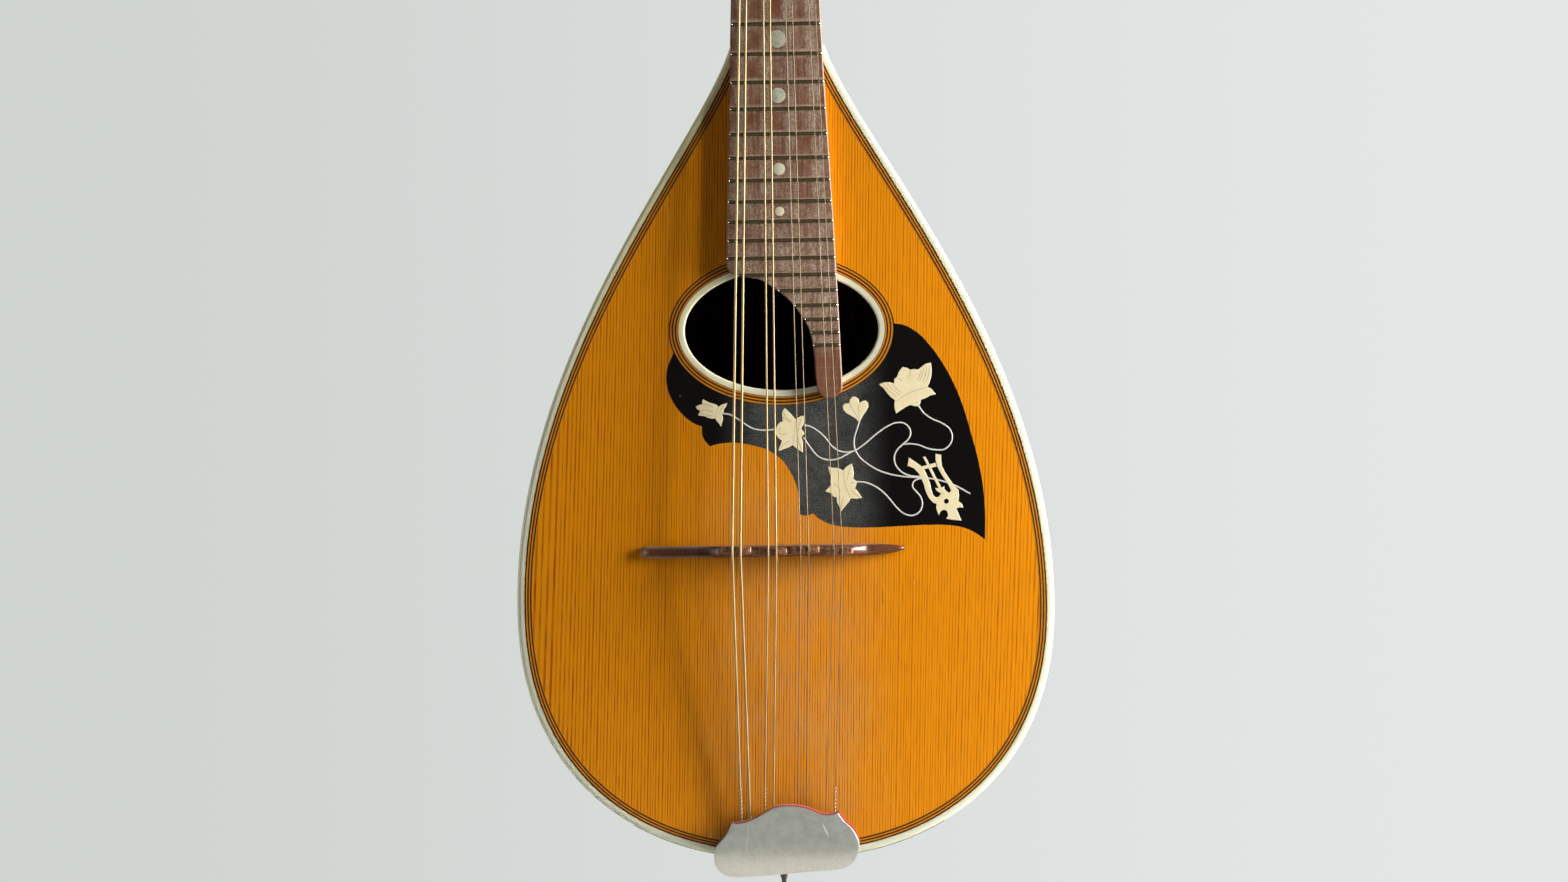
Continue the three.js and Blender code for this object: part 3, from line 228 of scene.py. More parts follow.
plaster, tree, shader, place = finish("painted_floor", "#D9DCDC", 0.85)
ray = add(tree, "LightPath")
far = add(tree, "VectorMath", {0: place}, operation="LENGTH")
fade = add(tree, "MapRange", {"Value": far, "From": (0.51, 0.66)})
clear = add(tree, "BsdfTransparent")
blend = add(tree, "MixShader", {0: fade, 1: shader, 2: clear})
feed(tree, tree.nodes["Material Output"], {"Surface": blend})
floor_z, floor_radius = -500.0, 450
turn = np.linspace(0, 2 * np.pi, 96, endpoint=False)
reach = np.linspace(0.01, floor_radius, 30)[:, None]
disc = np.stack([reach * np.cos(turn), reach * np.sin(turn), np.full((30, 96), floor_z)], -1)
floor = make("floor", grid(disc, around=True), plaster)


# Body outline and bowl
# Eleven staves of dark rosewood, bent over a form and glued edge to edge, so that the back is
# a deep half pear. Each is about 1.8 mm thick and meets its neighbours in a fine dark line.
widest, tail_end, neck_end = -358.6, -455.8, -145.9
upper_length, lower_length = 212.7, 97.2
half_body, bowl_depth, tail_power = 102.1, 138.0, 2.25
# The bowl's rim lies this far behind the soundboard's face.
rim_y = 3.1
stave_count, stave_thickness = 11, 1.8
cant = math.radians(4.5)
cant_start = -345.9


def station(t):
    """Height, half width and depth at t, from 0 at the tail through 1 at the widest line to 2
    at the neck. Below it is a superellipse, above it cubic Bezier curves."""
    t = np.asarray(t, float)
    angle = (1 - np.clip(t, 0, 1)) * np.pi / 2
    low = np.clip(np.cos(angle), 0, 1) ** (2 / tail_power)
    u = np.clip(t - 1, 0, 1)

    def cubic(a, b, c, d):
        v = 1 - u
        return a * v ** 3 + 3 * b * u * v ** 2 + 3 * c * u ** 2 * v + d * u ** 3

    upper = t > 1
    z = widest + np.where(upper, upper_length * cubic(0, 0.461, 0.819, 1),
                          -lower_length * np.sin(angle) ** (2 / tail_power))
    half = np.where(upper, cubic(1, 1, 0.2995, 0.175), low) * half_body
    depth = np.where(upper, cubic(1, 1, 0.47, 0.2), low) * bowl_depth
    return z, half, depth


def drop(z):
    """How far the soundboard's face lies back at a height: a soft bend behind the bridge,
    then a straight slope of 4.5 degrees."""
    below = cant_start - np.asarray(z, float)
    return math.tan(cant) * (below + np.sqrt(below ** 2 + 4)) / 2


def bowl(t, angle):
    """A point on the bowl: half an ellipse at each station, from 0 degrees at the bass rim."""
    z, half, depth = station(t)
    turn = np.radians(angle)
    return np.stack([-half * np.cos(turn), rim_y + drop(z) + depth * np.sin(turn), z + 0 * turn], -1)


def bowl_wall(t, angle, inset):
    """The bowl moved inwards along its own normal, which is the cross of its two slopes."""
    around = bowl(t, angle + 0.01) - bowl(t, angle - 0.01)
    along = bowl(np.minimum(t + 1e-4, 2), angle) - bowl(np.maximum(t - 1e-4, 1e-6), angle)
    inward = np.cross(around, along)
    inward /= np.linalg.norm(inward, axis=-1, keepdims=True) + 1e-12
    moved = bowl(t, angle) + inward * np.asarray(inset)[..., None]
    moved[..., 2] = np.minimum(moved[..., 2], neck_end)
    return moved


# Rosewood stave: sawn, scraped and French polished, so it is dark brown with near-black
# streaks along the stave under a clear gloss. Each stave comes from its own piece of the plank.
stave_wood, tree, shader, place = finish("polished_rosewood_stave", "#4A2116", 0.24,
                                         Coat_Weight=0.4, Coat_Roughness=0.1)
across = add(tree, "Attribute", attribute_name="across")
along = add(tree, "Attribute", attribute_name="along")
plank = add(tree, "Attribute", attribute_name="plank")
grain = add(tree, "CombineXYZ", {"X": (across, "Fac"), "Y": (plank, "Fac"), "Z": (along, "Fac")})
streak = add(tree, "TexNoise", {"Vector": grain, "Scale": 0.55, "Detail": 6.0, "Distortion": 0.3})
tone = add(tree, "TexNoise", {"Vector": grain, "Scale": 0.12, "Detail": 2.0})
dark = add(tree, "MapRange", {"Value": streak, "From": (0.46, 0.66)})
pale = add(tree, "TexWhiteNoise", {"W": (plank, "Fac")}, noise_dimensions="1D")
mixed = add(tree, "Math", {0: pale, 1: 0.5, 2: tone}, operation="MULTIPLY_ADD")
shifted = add(tree, "Math", {0: mixed, 1: -0.25}, operation="ADD", use_clamp=True)
red = add(tree, "Mix", {"Factor": shifted, "A": "#3C160C", "B": "#7E4226"})
wood = add(tree, "Mix", {"Factor": dark, "A": red, "B": "#1E0D09"})
# A fine dark glue line where two staves meet.
off_middle = add(tree, "Math", {0: (across, "Fac"), 1: -11.0}, operation="ADD")
to_seam = add(tree, "Math", {0: off_middle}, operation="ABSOLUTE")
seam = add(tree, "MapRange", {"Value": to_seam, "From": (10.4, 10.8), "To": (0.0, 0.9)})
seamed = add(tree, "Mix", {"Factor": seam, "A": wood, "B": "#140806"})
pores = add(tree, "Bump", {"Height": streak, "Strength": 0.15, "Distance": 0.0003})
feed(tree, shader, {"Base Color": seamed, "Normal": pores})

stave_rows = np.concatenate([np.linspace(0.035, 0.3, 16), np.linspace(0.33, 2, 60)])[:, None]
share = np.linspace(0, 1, 11)
# Each stave's edges are eased by 0.3 mm. Its marks place the streaks: 22 across it, 9 a station along.
eased = 0.3 * np.abs(2 * share - 1) ** 14
inset = np.concatenate([eased, np.full(11, stave_thickness)])[None, :]
across = np.concatenate([share, share[::-1]]) * 22 + 0 * stave_rows
for number in range(stave_count):
    angle = (number + share) * 180 / stave_count
    spread = np.concatenate([angle, angle[::-1]])[None, :]
    marks = {"across": across, "along": 9 * stave_rows + 0 * across, "plank": number * 7.3 + 0 * across}
    skin = grid(bowl_wall(stave_rows, spread, inset), around=True, ends=True, marks=marks)
    made = make(f"stave_{number + 1:02d}", skin, stave_wood)
    fit(made, "instrument", "rib_rosewood", f"rib_{number + 1:02d}")


# Tail clasp
# A broad band of the same rosewood, bent hot round the tail and glued over the stave ends. It is
# scraped thin at the rim, so that it ends flush with the binding.
clasp_half, clasp_depth = 59, 40


def clasp(share, depth, offset):
    """The band's face: the tail's superellipsoid, moved outwards along its slope."""
    x = clasp_half * share
    flat = np.hypot(x / half_body, depth / bowl_depth)
    ratio = np.clip(flat, 1e-3, 1) ** tail_power
    z = widest - lower_length * (1 - ratio) ** (1 / tail_power)
    slope = flat ** (tail_power - 2) * (1 - ratio) ** (1 / tail_power - 1) * lower_length
    normal = np.stack([slope * x / half_body ** 2, slope * depth / bowl_depth ** 2, -np.ones_like(x)], -1)
    normal /= np.linalg.norm(normal, axis=-1, keepdims=True)
    return np.stack([x, rim_y + drop(z) + depth, z], -1) + normal * np.asarray(offset)[..., None]


share = np.linspace(-1, 1, 61)[:, None]
depth = clasp_depth * (0.25 + 0.75 * np.cos(share * np.pi / 2) ** 0.7)
step = np.linspace(0.3 / clasp_depth, 1, 14)
steps = np.concatenate([step, step[::-1]])[None, :]
outer = (np.arange(28) < 14)[None, :]
offset = np.where(outer, np.interp(depth * steps, [0, 16], [0.3, 1.5]), 0.1) - 0.7 * outer * (steps > 0.97)
marks = {"across": depth * steps, "along": 9 * share + 0 * steps, "plank": 91 + 0 * depth * steps}
band = grid(clasp(share + 0 * steps, depth * steps, offset), around=True, ends=True, marks=marks)
fit(make("tail_band", band, stave_wood), "instrument", "rib_rosewood", "tail_clasp")


# Blocks, linings and braces
# Raw spruce, split and planed, glued inside the bowl. Only a little shows through the soundhole.
def grained(tree, place, scale, stretch=(1, 1, 1), **settings):
    """Noise at a scale per metre, drawn out along the grain where the stretch is under 1."""
    point = add(tree, "Mapping", {"Vector": place, "Scale": stretch})
    return add(tree, "TexNoise", {"Vector": point, "Scale": scale, "Detail": 3.0, **settings})


def two_toned(tree, place, scale, low, high, stretch=(1, 1, 1), **settings):
    """Two colours mixed by grained noise."""
    noise = grained(tree, place, scale, stretch, **settings)
    return add(tree, "Mix", {"Factor": noise, "A": low, "B": high})


def refinish(material, *nodes):
    """Gives a finish to CAD nodes that keep their own shape."""
    for node in nodes:
        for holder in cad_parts[node].material_slots:
            holder.material = material


raw_spruce, tree, shader, place = finish("planed_raw_spruce", "#C9A56B", 0.75)
wood = two_toned(tree, place, 900.0, "#B58A50", "#DDC08C", (0.08, 1, 1))
feed(tree, shader, {"Base Color": wood})
refinish(raw_spruce, "neck_block", "tail_block", "rim_lining_bass", "rim_lining_treble",
         "cross_brace_1", "cross_brace_2", "cross_brace_3")


# Soundboard
# Two book-matched halves of quartered spruce, 2.8 mm thick, bent back behind the bridge, under
# old amber varnish. The dark lines are winter growth. Years of playing have dulled it under
# the strings, and left small pale nicks along the grain.
top_thickness = 2.8
hole_height, hole_half_width, hole_half_height = -254.1, 36.8, 22.8


def outline(inset=0.0, count=481):
    """The body's edge from the neck down the bass side, round the tail and up the treble side,
    moved inwards square to itself."""
    t = np.linspace(-2, 2, count)
    z, half, _ = station(np.abs(t))
    path = np.stack([np.sign(t) * half, z], -1)
    slope = np.gradient(path, axis=0)
    normal = np.stack([slope[:, 1], -slope[:, 0]], -1) / np.linalg.norm(slope, axis=1)[:, None]
    path = path - inset * normal
    path[:, 1] = np.minimum(path[:, 1], neck_end)
    return path


def hole(outward, count=240, start=0.0, end=360.0):
    """Points of the soundhole's ellipse, grown outwards, between two angles."""
    turn = np.radians(np.linspace(start, end, count, endpoint=end - start != 360))
    return np.stack([(hole_half_width + outward) * np.cos(turn),
                     hole_height + (hole_half_height + outward) * np.sin(turn)], -1)


def laid(plan, y):
    """Points of a plan view in x and z, laid at a depth under the canted face."""
    return np.stack([plan[..., 0], y + drop(plan[..., 1]), plan[..., 1]], -1)


def mottled(tree, place, scale, seen, given, stretch=(1, 1, 1), **settings):
    """Grained noise whose values between the two seen are spread between the two given."""
    noise = grained(tree, place, scale, stretch, **settings)
    return add(tree, "MapRange", {"Value": noise, "From": seen, "To": given})


top_spruce, tree, shader, place = finish("varnished_spruce_top", "#E08C12", 0.36, Specular_IOR_Level=0.15)
axes = add(tree, "SeparateXYZ", {"Vector": place})
sway = grained(tree, place, 14.0, (1, 1, 0.12), Detail=2.0)
swayed = add(tree, "Math", {0: sway, 1: 0.004, 2: (axes, "X")}, operation="MULTIPLY_ADD")
# The grain leans by 1.1 degrees at the joint and by 3 at the edges: 0.02 + 0.03 (x / 87)^2.
squared = add(tree, "Math", {0: (axes, "X"), 1: (axes, "X")}, operation="MULTIPLY")
slant = add(tree, "Math", {0: squared, 1: -0.03 / 0.087 ** 2, 2: -0.02}, operation="MULTIPLY_ADD")
above = add(tree, "Math", {0: (axes, "Z"), 1: 0.35}, operation="ADD")
leaning = add(tree, "Math", {0: above, 1: slant, 2: swayed}, operation="MULTIPLY_ADD")
away = add(tree, "Math", {0: leaning, 1: -0.001}, operation="ADD")
aside = add(tree, "Math", {0: away}, operation="ABSOLUTE")
# Lines counted from the joint at x mm: x (0.95 - k (x / 87)^4), with k 0.09 on the bass side and
# 0.05 on the treble side, so that they lie 1.05 mm apart at the joint and 1.4 to 2 mm at the edges.
outer = add(tree, "Math", {0: aside, 1: 1 / 0.087}, operation="MULTIPLY")
fourth = add(tree, "Math", {0: outer, 1: 4.0}, operation="POWER")
wider = add(tree, "MapRange", {"Value": away, "From": (-0.001, 0.001), "To": (-0.09, -0.05)})
rate = add(tree, "Math", {0: fourth, 1: wider, 2: 0.95}, operation="MULTIPLY_ADD")
count = add(tree, "Math", {0: aside, 1: rate}, operation="MULTIPLY")
uneven = add(tree, "TexNoise", {"W": count, "Scale": 330.0, "Detail": 1.0}, noise_dimensions="1D")
jitter = add(tree, "Math", {0: uneven, 1: 4.0}, operation="MULTIPLY")
turns = add(tree, "Math", {0: count, 1: 2000 * math.pi, 2: jitter}, operation="MULTIPLY_ADD")
wave = add(tree, "Math", {0: turns}, operation="SINE")
sharp = add(tree, "MapRange", {"Value": wave, "From": (-0.1, 1.0)}, interpolation_type="SMOOTHSTEP")
strength = add(tree, "TexNoise", {"W": turns, "Scale": 0.13, "Detail": 3.0}, noise_dimensions="1D")
strong = add(tree, "MapRange", {"Value": strength, "From": (0.3, 0.65), "To": (0.5, 1.1)})
line = add(tree, "Math", {0: sharp, 1: strong}, operation="MULTIPLY")
broken = mottled(tree, place, 700.0, (0.35, 0.65), (0.35, 1.0), (1, 1, 0.12))
faint = add(tree, "Math", {0: line, 1: broken}, operation="MULTIPLY")
weaker = add(tree, "MapRange", {"Value": (axes, "X"), "From": (-0.06, 0.03), "To": (1.0, 0.8)})
lined_by = add(tree, "Math", {0: faint, 1: weaker}, operation="MULTIPLY")
fibred = two_toned(tree, place, 1500.0, "#C4BCA8", "#FFFFFF", (1, 1, 0.04))
# The amber is painted a little brighter towards the treble side, where the main lamp stands: painted light.
side = add(tree, "MapRange", {"Value": (axes, "X"), "From": (-0.09, 0.07)}, interpolation_type="SMOOTHSTEP")
amber = add(tree, "Mix", {"Factor": side, "A": "#EC950A", "B": "#F89A0E"})
toned = add(tree, "Mix", {"Factor": 0.5, "A": amber, "B": fibred}, blend_type="MULTIPLY")
# Worn and dusty under the strings: a soft band from the pickguard to the tail.
middle = add(tree, "Math", {0: (axes, "X"), 1: -0.002}, operation="ADD")
from_middle = add(tree, "Math", {0: middle}, operation="ABSOLUTE")
band = add(tree, "MapRange", {"Value": from_middle, "From": (0.012, 0.045), "To": (1.0, 0.0)},
           interpolation_type="SMOOTHSTEP")
below = add(tree, "MapRange", {"Value": (axes, "Z"), "From": (-0.29, -0.33)}, interpolation_type="SMOOTHSTEP")
worn = add(tree, "Math", {0: band, 1: below}, operation="MULTIPLY")
cloudy = mottled(tree, place, 60.0, (0.3, 0.7), (0.08, 0.42), Detail=4.0)
clouded = add(tree, "Math", {0: worn, 1: cloudy}, operation="MULTIPLY")
grit = mottled(tree, place, 1700.0, (0.35, 0.65), (0.1, 1.9))
gritty = add(tree, "Math", {0: clouded, 1: grit}, operation="MULTIPLY", use_clamp=True)
haze = add(tree, "Mix", {"Factor": gritty, "A": toned, "B": "#CE9A60"})
lined = add(tree, "Mix", {"Factor": lined_by, "A": haze, "B": "#A04604"})
nick = mottled(tree, place, 420.0, (0.75, 0.79), (0.0, 0.5), (1, 1, 0.25), Detail=2.0)
nicked = add(tree, "Mix", {"Factor": nick, "A": lined, "B": "#F0C068"})
rough = mottled(tree, place, 60.0, (0.0, 1.0), (0.26, 0.44), Detail=4.0)
relief = add(tree, "Bump", {"Height": line, "Strength": 0.05, "Distance": 0.0002})
feed(tree, shader, {"Base Color": nicked, "Roughness": rough, "Normal": relief})

edge = outline(2.6, 401)
edge = np.vstack([edge, np.linspace(edge[-1], edge[0], 14)[1:-1]])
bearing = np.arctan2((edge[:, 1] - hole_height) / hole_half_height, edge[:, 0] / hole_half_width)
# The board's own hole is 2.2 mm wider all round, to take the binding and the rosette's lines.
mouth = np.stack([(hole_half_width + 2.2) * np.cos(bearing),
                  hole_height + (hole_half_height + 2.2) * np.sin(bearing)], -1)
reach = np.linspace(0, 1, 72)[:, None, None]
sheet = mouth + (edge - mouth) * reach
board = grid(np.vstack([laid(sheet, 0), laid(sheet[::-1], top_thickness)]), around=True, ring=True)
fit(make("spruce_top", board, top_spruce), "instrument", "spruce_top", "soundboard")


# Edge binding and purfling
# A strip of aged cream celluloid, bent round the rim, scraped flush and rounded over, and
# inside it three dark lines of dyed wood between paler ones.
binding_cream, tree, shader, place = finish("aged_cream_celluloid", "#E2E2C6", 0.3, Subsurface_Weight=0.5,
                                            Subsurface_Scale=0.002, Subsurface_Radius=(1, 1, 0.8))
cream = two_toned(tree, place, 40.0, "#E2E2C2", "#F0ECD2", Detail=4.0)
# On the bass side near the neck it is painted brighter and yellower: a painted warm bounce light that lifts
# it out of the neck's shadow.
axes = add(tree, "SeparateXYZ", {"Vector": place})
bass_side = add(tree, "MapRange", {"Value": (axes, "X"), "From": (0.0, -0.02)})
near_neck = add(tree, "MapRange", {"Value": (axes, "Z"), "From": (-0.3, -0.18), "To": (0.0, 0.9)})
painted_bounce = add(tree, "Math", {0: bass_side, 1: near_neck}, operation="MULTIPLY")
painted_bounce_colour = add(tree, "Mix", {"Factor": painted_bounce, "A": cream, "B": "#F8EEB4"})
feed(tree, shader, {"Base Color": painted_bounce_colour})


def strip(profile, marks=None, trim=0, count=481):
    """A profile of insets and depths carried along the body's edge, closed at the neck."""
    rows = np.stack([laid(outline(inset, count), y) for inset, y in profile], 1)
    rows = rows[trim:len(rows) - trim]
    across = np.broadcast_to(np.array(marks or [0.0] * len(profile)), rows.shape[:2])
    return grid(rows, around=True, ends=True, marks={"across": across})


# Insets and depths of the binding: 2.8 mm wide and 2.9 mm deep, with its outer edge rounded over.
bend = np.radians(np.linspace(0, 90, 7))
rounded = [(1.5 - 1.5 * math.sin(a), 1.4 - 1.4 * math.cos(a)) for a in bend]
binding_profile = [(2.8, 2.9), (2.8, 0.0), *rounded, (0, 2.9)]
fit(make("rim_binding", strip(binding_profile), binding_cream),
    "instrument", "cream_binding", "edge_binding")

# Dyed and plain strips glued in a sandwich. A dark line lies at each whole number of the mark.
line_wood, tree, shader, place = finish("dyed_wood_lines", "#B9782A", 0.5, Specular_IOR_Level=0.15)
mark = add(tree, "Attribute", attribute_name="across")
turns = add(tree, "Math", {0: (mark, "Fac"), 1: 2 * math.pi, 2: math.pi}, operation="MULTIPLY_ADD")
wave = add(tree, "Math", {0: turns}, operation="COSINE")
crisp = add(tree, "MapRange", {"Value": wave, "From": (-0.15, 0.15)})
grain = grained(tree, place, 300.0)
amber = add(tree, "Mix", {"Factor": grain, "A": "#B06A10", "B": "#E0901C"})
brown = add(tree, "Mix", {"Factor": grain, "A": "#1C0E04", "B": "#3A2008"})
lines = add(tree, "Mix", {"Factor": crisp, "A": brown, "B": amber})
feed(tree, shader, {"Base Color": lines})
purfling_profile = [(2.8, 0.6), (2.8, -0.03), (5.7, -0.03), (5.7, 0.6)]
fit(make("rim_purfling", strip(purfling_profile, [-0.23, -0.23, 2.5, 2.5], trim=5), line_wood),
    "instrument", "purfling_lines", "edge_purfling")


# Soundhole binding and rosette
# The same cream celluloid lines the hole, bent into an oval, with dyed lines round it.
def oval(profile, marks=None):
    """A profile of outward distances and depths carried round the soundhole."""
    rows = np.stack([laid(hole(outward), y) for outward, y in profile], 1)
    across = np.broadcast_to(np.array(marks or [0.0] * len(profile)), rows.shape[:2])
    return grid(rows, around=True, ring=True, marks={"across": across})


rounded = [(0.7 - 0.7 * math.sin(a), 0.6 - 0.62 * math.cos(a)) for a in bend[::-1]]
binding_profile = [(0, top_thickness), *rounded, (2.45, -0.02), (2.45, top_thickness)]
fit(make("hole_binding", oval(binding_profile), binding_cream),
    "instrument", "cream_binding", "soundhole_binding")
rosette_profile = [(2.4, 0.6), (2.4, -0.02), (6.1, -0.02), (6.1, 0.6)]
fit(make("rosette_lines", oval(rosette_profile, [0.1, 0.1, 3.18, 3.18]), line_wood),
    "instrument", "purfling_lines", "rosette")


# Pickguard
# Polished black celluloid let into the soundboard. Fine dust lies on it under the strings, where
# a cloth doesn't reach.
def flowing(points, spacing, closed=False):
    """A smooth curve through points: a cubic between each two, with slopes by chord length."""
    p = np.array(points, float)
    if closed:
        p = np.vstack([p[-2:], p, p[:3]])
    s = np.concatenate([[0], np.cumsum(np.linalg.norm(np.diff(p, axis=0), axis=1))])
    slope = np.gradient(p, s, axis=0)
    start, end = (s[2], s[-3]) if closed else (s[0], s[-1])
    at = np.linspace(start, end, max(3, int((end - start) / spacing) + 1), endpoint=not closed)
    i = np.clip(np.searchsorted(s, at, side="right") - 1, 0, len(s) - 2)
    h = (s[i + 1] - s[i])[:, None]
    u = (at - s[i])[:, None] / h
    return ((2 * u ** 3 - 3 * u ** 2 + 1) * p[i] + (u ** 3 - 2 * u ** 2 + u) * h * slope[i]
            + (3 * u ** 2 - 2 * u ** 3) * p[i + 1] + (u ** 3 - u ** 2) * h * slope[i + 1])


def plate(plan, profile, place=laid):
    """A flat piece: each step of the profile is the plan's outline moved inwards and laid at a
    depth, and the first and last steps are closed."""
    chord = np.roll(plan, -1, 0) - np.roll(plan, 1, 0)
    x, z = plan.T
    way = np.sign(np.sum(x * np.roll(z, -1) - z * np.roll(x, -1)))
    length = np.linalg.norm(chord, axis=1)[:, None] + 1e-9
    normal = way * np.stack([chord[:, 1], -chord[:, 0]], -1) / length
    steps = [place(plan - inset * normal, y) for inset, y in profile]
    return grid(np.stack(steps), around=True, ends=True)


guard_runs = [
    [(673, 353.9), (666.7, 371.6), (667.1, 385.7), (671.9, 399.9), (678.9, 410.5), (687.2, 418.8),
     (696.6, 424.7), (702.2, 426.4)],
    [(702.2, 426.4), (701.9, 431.7), (704.5, 440.2), (710.1, 446.4)],
    [(710.1, 446.4), (715.3, 444.7), (724.4, 443.1), (732.9, 442.6), (743.6, 443.6), (755, 445.9),
     (766.5, 449.3), (774.2, 453.9), (781.8, 459.7), (788, 467.6), (793, 476.5), (796.6, 486),
     (799.3, 499), (800, 514.3)],
    [(800, 514.3), (804.5, 515.6), (808.7, 515.3), (813, 513.2)],
    [(813, 513.2), (818.2, 517.9), (826.4, 522.6), (838.2, 526.1), (852.4, 527.3), (876, 527.3),
     (899.6, 526.1), (923.1, 525), (946.7, 525), (960.9, 526.8), (970.3, 530.1), (979.8, 535.6),
     (985, 539.6)],
    [(985, 539.6), (985.2, 513.2), (982.1, 480.1), (977.4, 456.5), (970.3, 430.6), (963.3, 407),
     (953.8, 383.4), (942, 362.1), (930.2, 345.6), (916.1, 331.5), (901.9, 324.4), (893.7, 323.2)],
]
guard_edges = [flowing(close_up(run), 1.2)[:-1] for run in guard_runs]
guard_plan = np.vstack(guard_edges + [hole(5.7, 90, 3.8, -163)])

guard_black, tree, shader, place = finish("polished_black_celluloid", "#0B0A0A", 0.16, Specular_IOR_Level=0.2)
axes = add(tree, "SeparateXYZ", {"Vector": place})
middle = add(tree, "Math", {0: (axes, "X"), 1: -0.008}, operation="ADD")
from_middle = add(tree, "Math", {0: middle}, operation="ABSOLUTE")
band = add(tree, "MapRange", {"Value": from_middle, "From": (0.014, 0.034), "To": (1.0, 0.0)},
           interpolation_type="SMOOTHSTEP")
cloudy = mottled(tree, place, 110.0, (0.25, 0.75), (0.5, 1.2))
dusty = add(tree, "Math", {0: band, 1: cloudy}, operation="MULTIPLY")
# Dust grains of 0.3 mm, drawn coarse enough to show, and a few pale specks everywhere.
dust = mottled(tree, place, 2600.0, (0.4, 0.72), (0.1, 0.85), Roughness=0.7)
dusted = add(tree, "Math", {0: dust, 1: dusty}, operation="MULTIPLY")
cell = add(tree, "TexVoronoi", {"Vector": place, "Scale": 110.0, "Randomness": 1.0})
speck = add(tree, "MapRange", {"Value": cell, "From": (0.035, 0.06), "To": (0.45, 0.0)})
most = add(tree, "Math", {0: dusted, 1: speck}, operation="MAXIMUM")
coated = add(tree, "Mix", {"Factor": most, "A": "#0C0A09", "B": "#7A7B76"})
rough = add(tree, "MapRange", {"Value": most, "From": (0.0, 0.6), "To": (0.1, 0.5)})
feed(tree, shader, {"Base Color": coated, "Roughness": rough})
fit(make("black_guard", plate(guard_plan, [(0, 0.6), (0, 0.0), (0.12, -0.05)]), guard_black, 12),
    "instrument", "black_guard", "pickguard")


# Flower and lyre inlay
# Leaves, flowers and a lyre sawn from pale horn-coloured celluloid, let into the black and
# engraved with fine lines, and joined by tendrils of thin wire-like strips.
left_view = {"corner": (690, 395), "zoom": 13.067}
right_view = {"corner": (820, 355), "zoom": 8.961}


def close_ups(runs, view):
    """Several runs of points from one enlarged corner."""
    return [close_up(run, **view) for run in runs]


flower_plans = close_ups([
    [(75, 150), (115, 130), (160, 120), (158, 85), (172, 55), (200, 75), (250, 98), (310, 115),
     (350, 130), (372, 155), (400, 135), (440, 115), (490, 103), (470, 150), (442, 190), (437, 225),
     (415, 250), (430, 290), (428, 330), (403, 412), (375, 370), (345, 335), (328, 305), (290, 312),
     (240, 300), (190, 278), (140, 272), (105, 265), (120, 235), (135, 208), (105, 195), (85, 175)],
    [(1240, 170), (1270, 200), (1310, 240), (1350, 285), (1380, 320), (1410, 295), (1450, 275),
     (1503, 268), (1498, 330), (1485, 380), (1460, 420), (1450, 440), (1475, 470), (1497, 505),
     (1470, 530), (1455, 560), (1470, 600), (1475, 650), (1473, 748), (1440, 730), (1400, 705),
     (1370, 680), (1340, 655), (1290, 685), (1230, 705), (1155, 735), (1165, 690), (1185, 640),
     (1200, 595), (1160, 570), (1125, 520), (1110, 480), (1125, 430), (1150, 380), (1185, 350),
     (1210, 345), (1205, 290), (1200, 240), (1215, 200)]], left_view) + close_ups([
    [(352, 605), (320, 570), (280, 545), (235, 520), (208, 490), (203, 455), (225, 435), (262, 432),
     (268, 400), (290, 375), (318, 373), (345, 395), (352, 432), (380, 412), (410, 408), (432, 430),
     (433, 465), (415, 500), (390, 535), (370, 570)],
    [(528, 262), (575, 245), (625, 243), (665, 255), (663, 215), (690, 195), (705, 150), (740, 107),
     (780, 115), (808, 132), (840, 125), (880, 130), (905, 108), (945, 78), (993, 68), (1000, 130),
     (995, 200), (980, 250), (962, 285), (1000, 305), (1038, 352), (990, 362), (950, 385), (905, 400),
     (900, 430), (885, 455), (850, 460), (808, 448), (770, 465), (730, 490), (683, 525), (668, 480),
     (665, 440), (672, 405), (630, 375), (600, 340), (570, 300)],
    [(72, 997), (110, 1010), (160, 1012), (208, 1035), (225, 1010), (250, 990), (285, 973), (297, 1020),
     (303, 1060), (297, 1110), (332, 1135), (325, 1165), (312, 1195), (345, 1230), (378, 1280),
     (330, 1288), (275, 1285), (255, 1320), (225, 1355), (190, 1400), (170, 1355), (150, 1315),
     (148, 1275), (120, 1270), (97, 1240), (45, 1220), (75, 1190), (95, 1165), (90, 1125), (98, 1100),
     (85, 1060)]], right_view)
lyre_plans = close_ups([
    [(797, 918), (785, 990), (840, 1015), (880, 1055), (905, 1100), (930, 1160), (950, 1230),
     (975, 1280), (1010, 1320), (1045, 1335), (1040, 1365), (1050, 1400), (1065, 1435), (1080, 1400),
     (1110, 1385), (1140, 1400), (1148, 1440), (1130, 1468), (1200, 1478), (1268, 1483), (1245, 1430),
     (1222, 1375), (1250, 1365), (1285, 1368), (1270, 1330), (1240, 1310), (1245, 1260), (1240, 1210),
     (1200, 1165), (1160, 1110), (1120, 1050), (1090, 990), (1085, 935), (1085, 895), (1035, 885),
     (1035, 940), (1050, 1000), (1085, 1065), (1125, 1125), (1160, 1180), (1175, 1215), (1158, 1234),
     (1135, 1222), (1115, 1200), (1085, 1240), (1060, 1272), (1035, 1275), (1015, 1255), (1000, 1215),
     (985, 1150), (965, 1090), (935, 1030), (900, 990), (850, 955)],
    [(903, 1000), (915, 1026), (1045, 1000), (1035, 965)],
    [(922, 912), (975, 1020), (1062, 1195), (1030, 1192), (1050, 1220), (1085, 1242), (1112, 1212),
     (1114, 1176), (1088, 1188), (990, 1000), (946, 912)]], right_view)
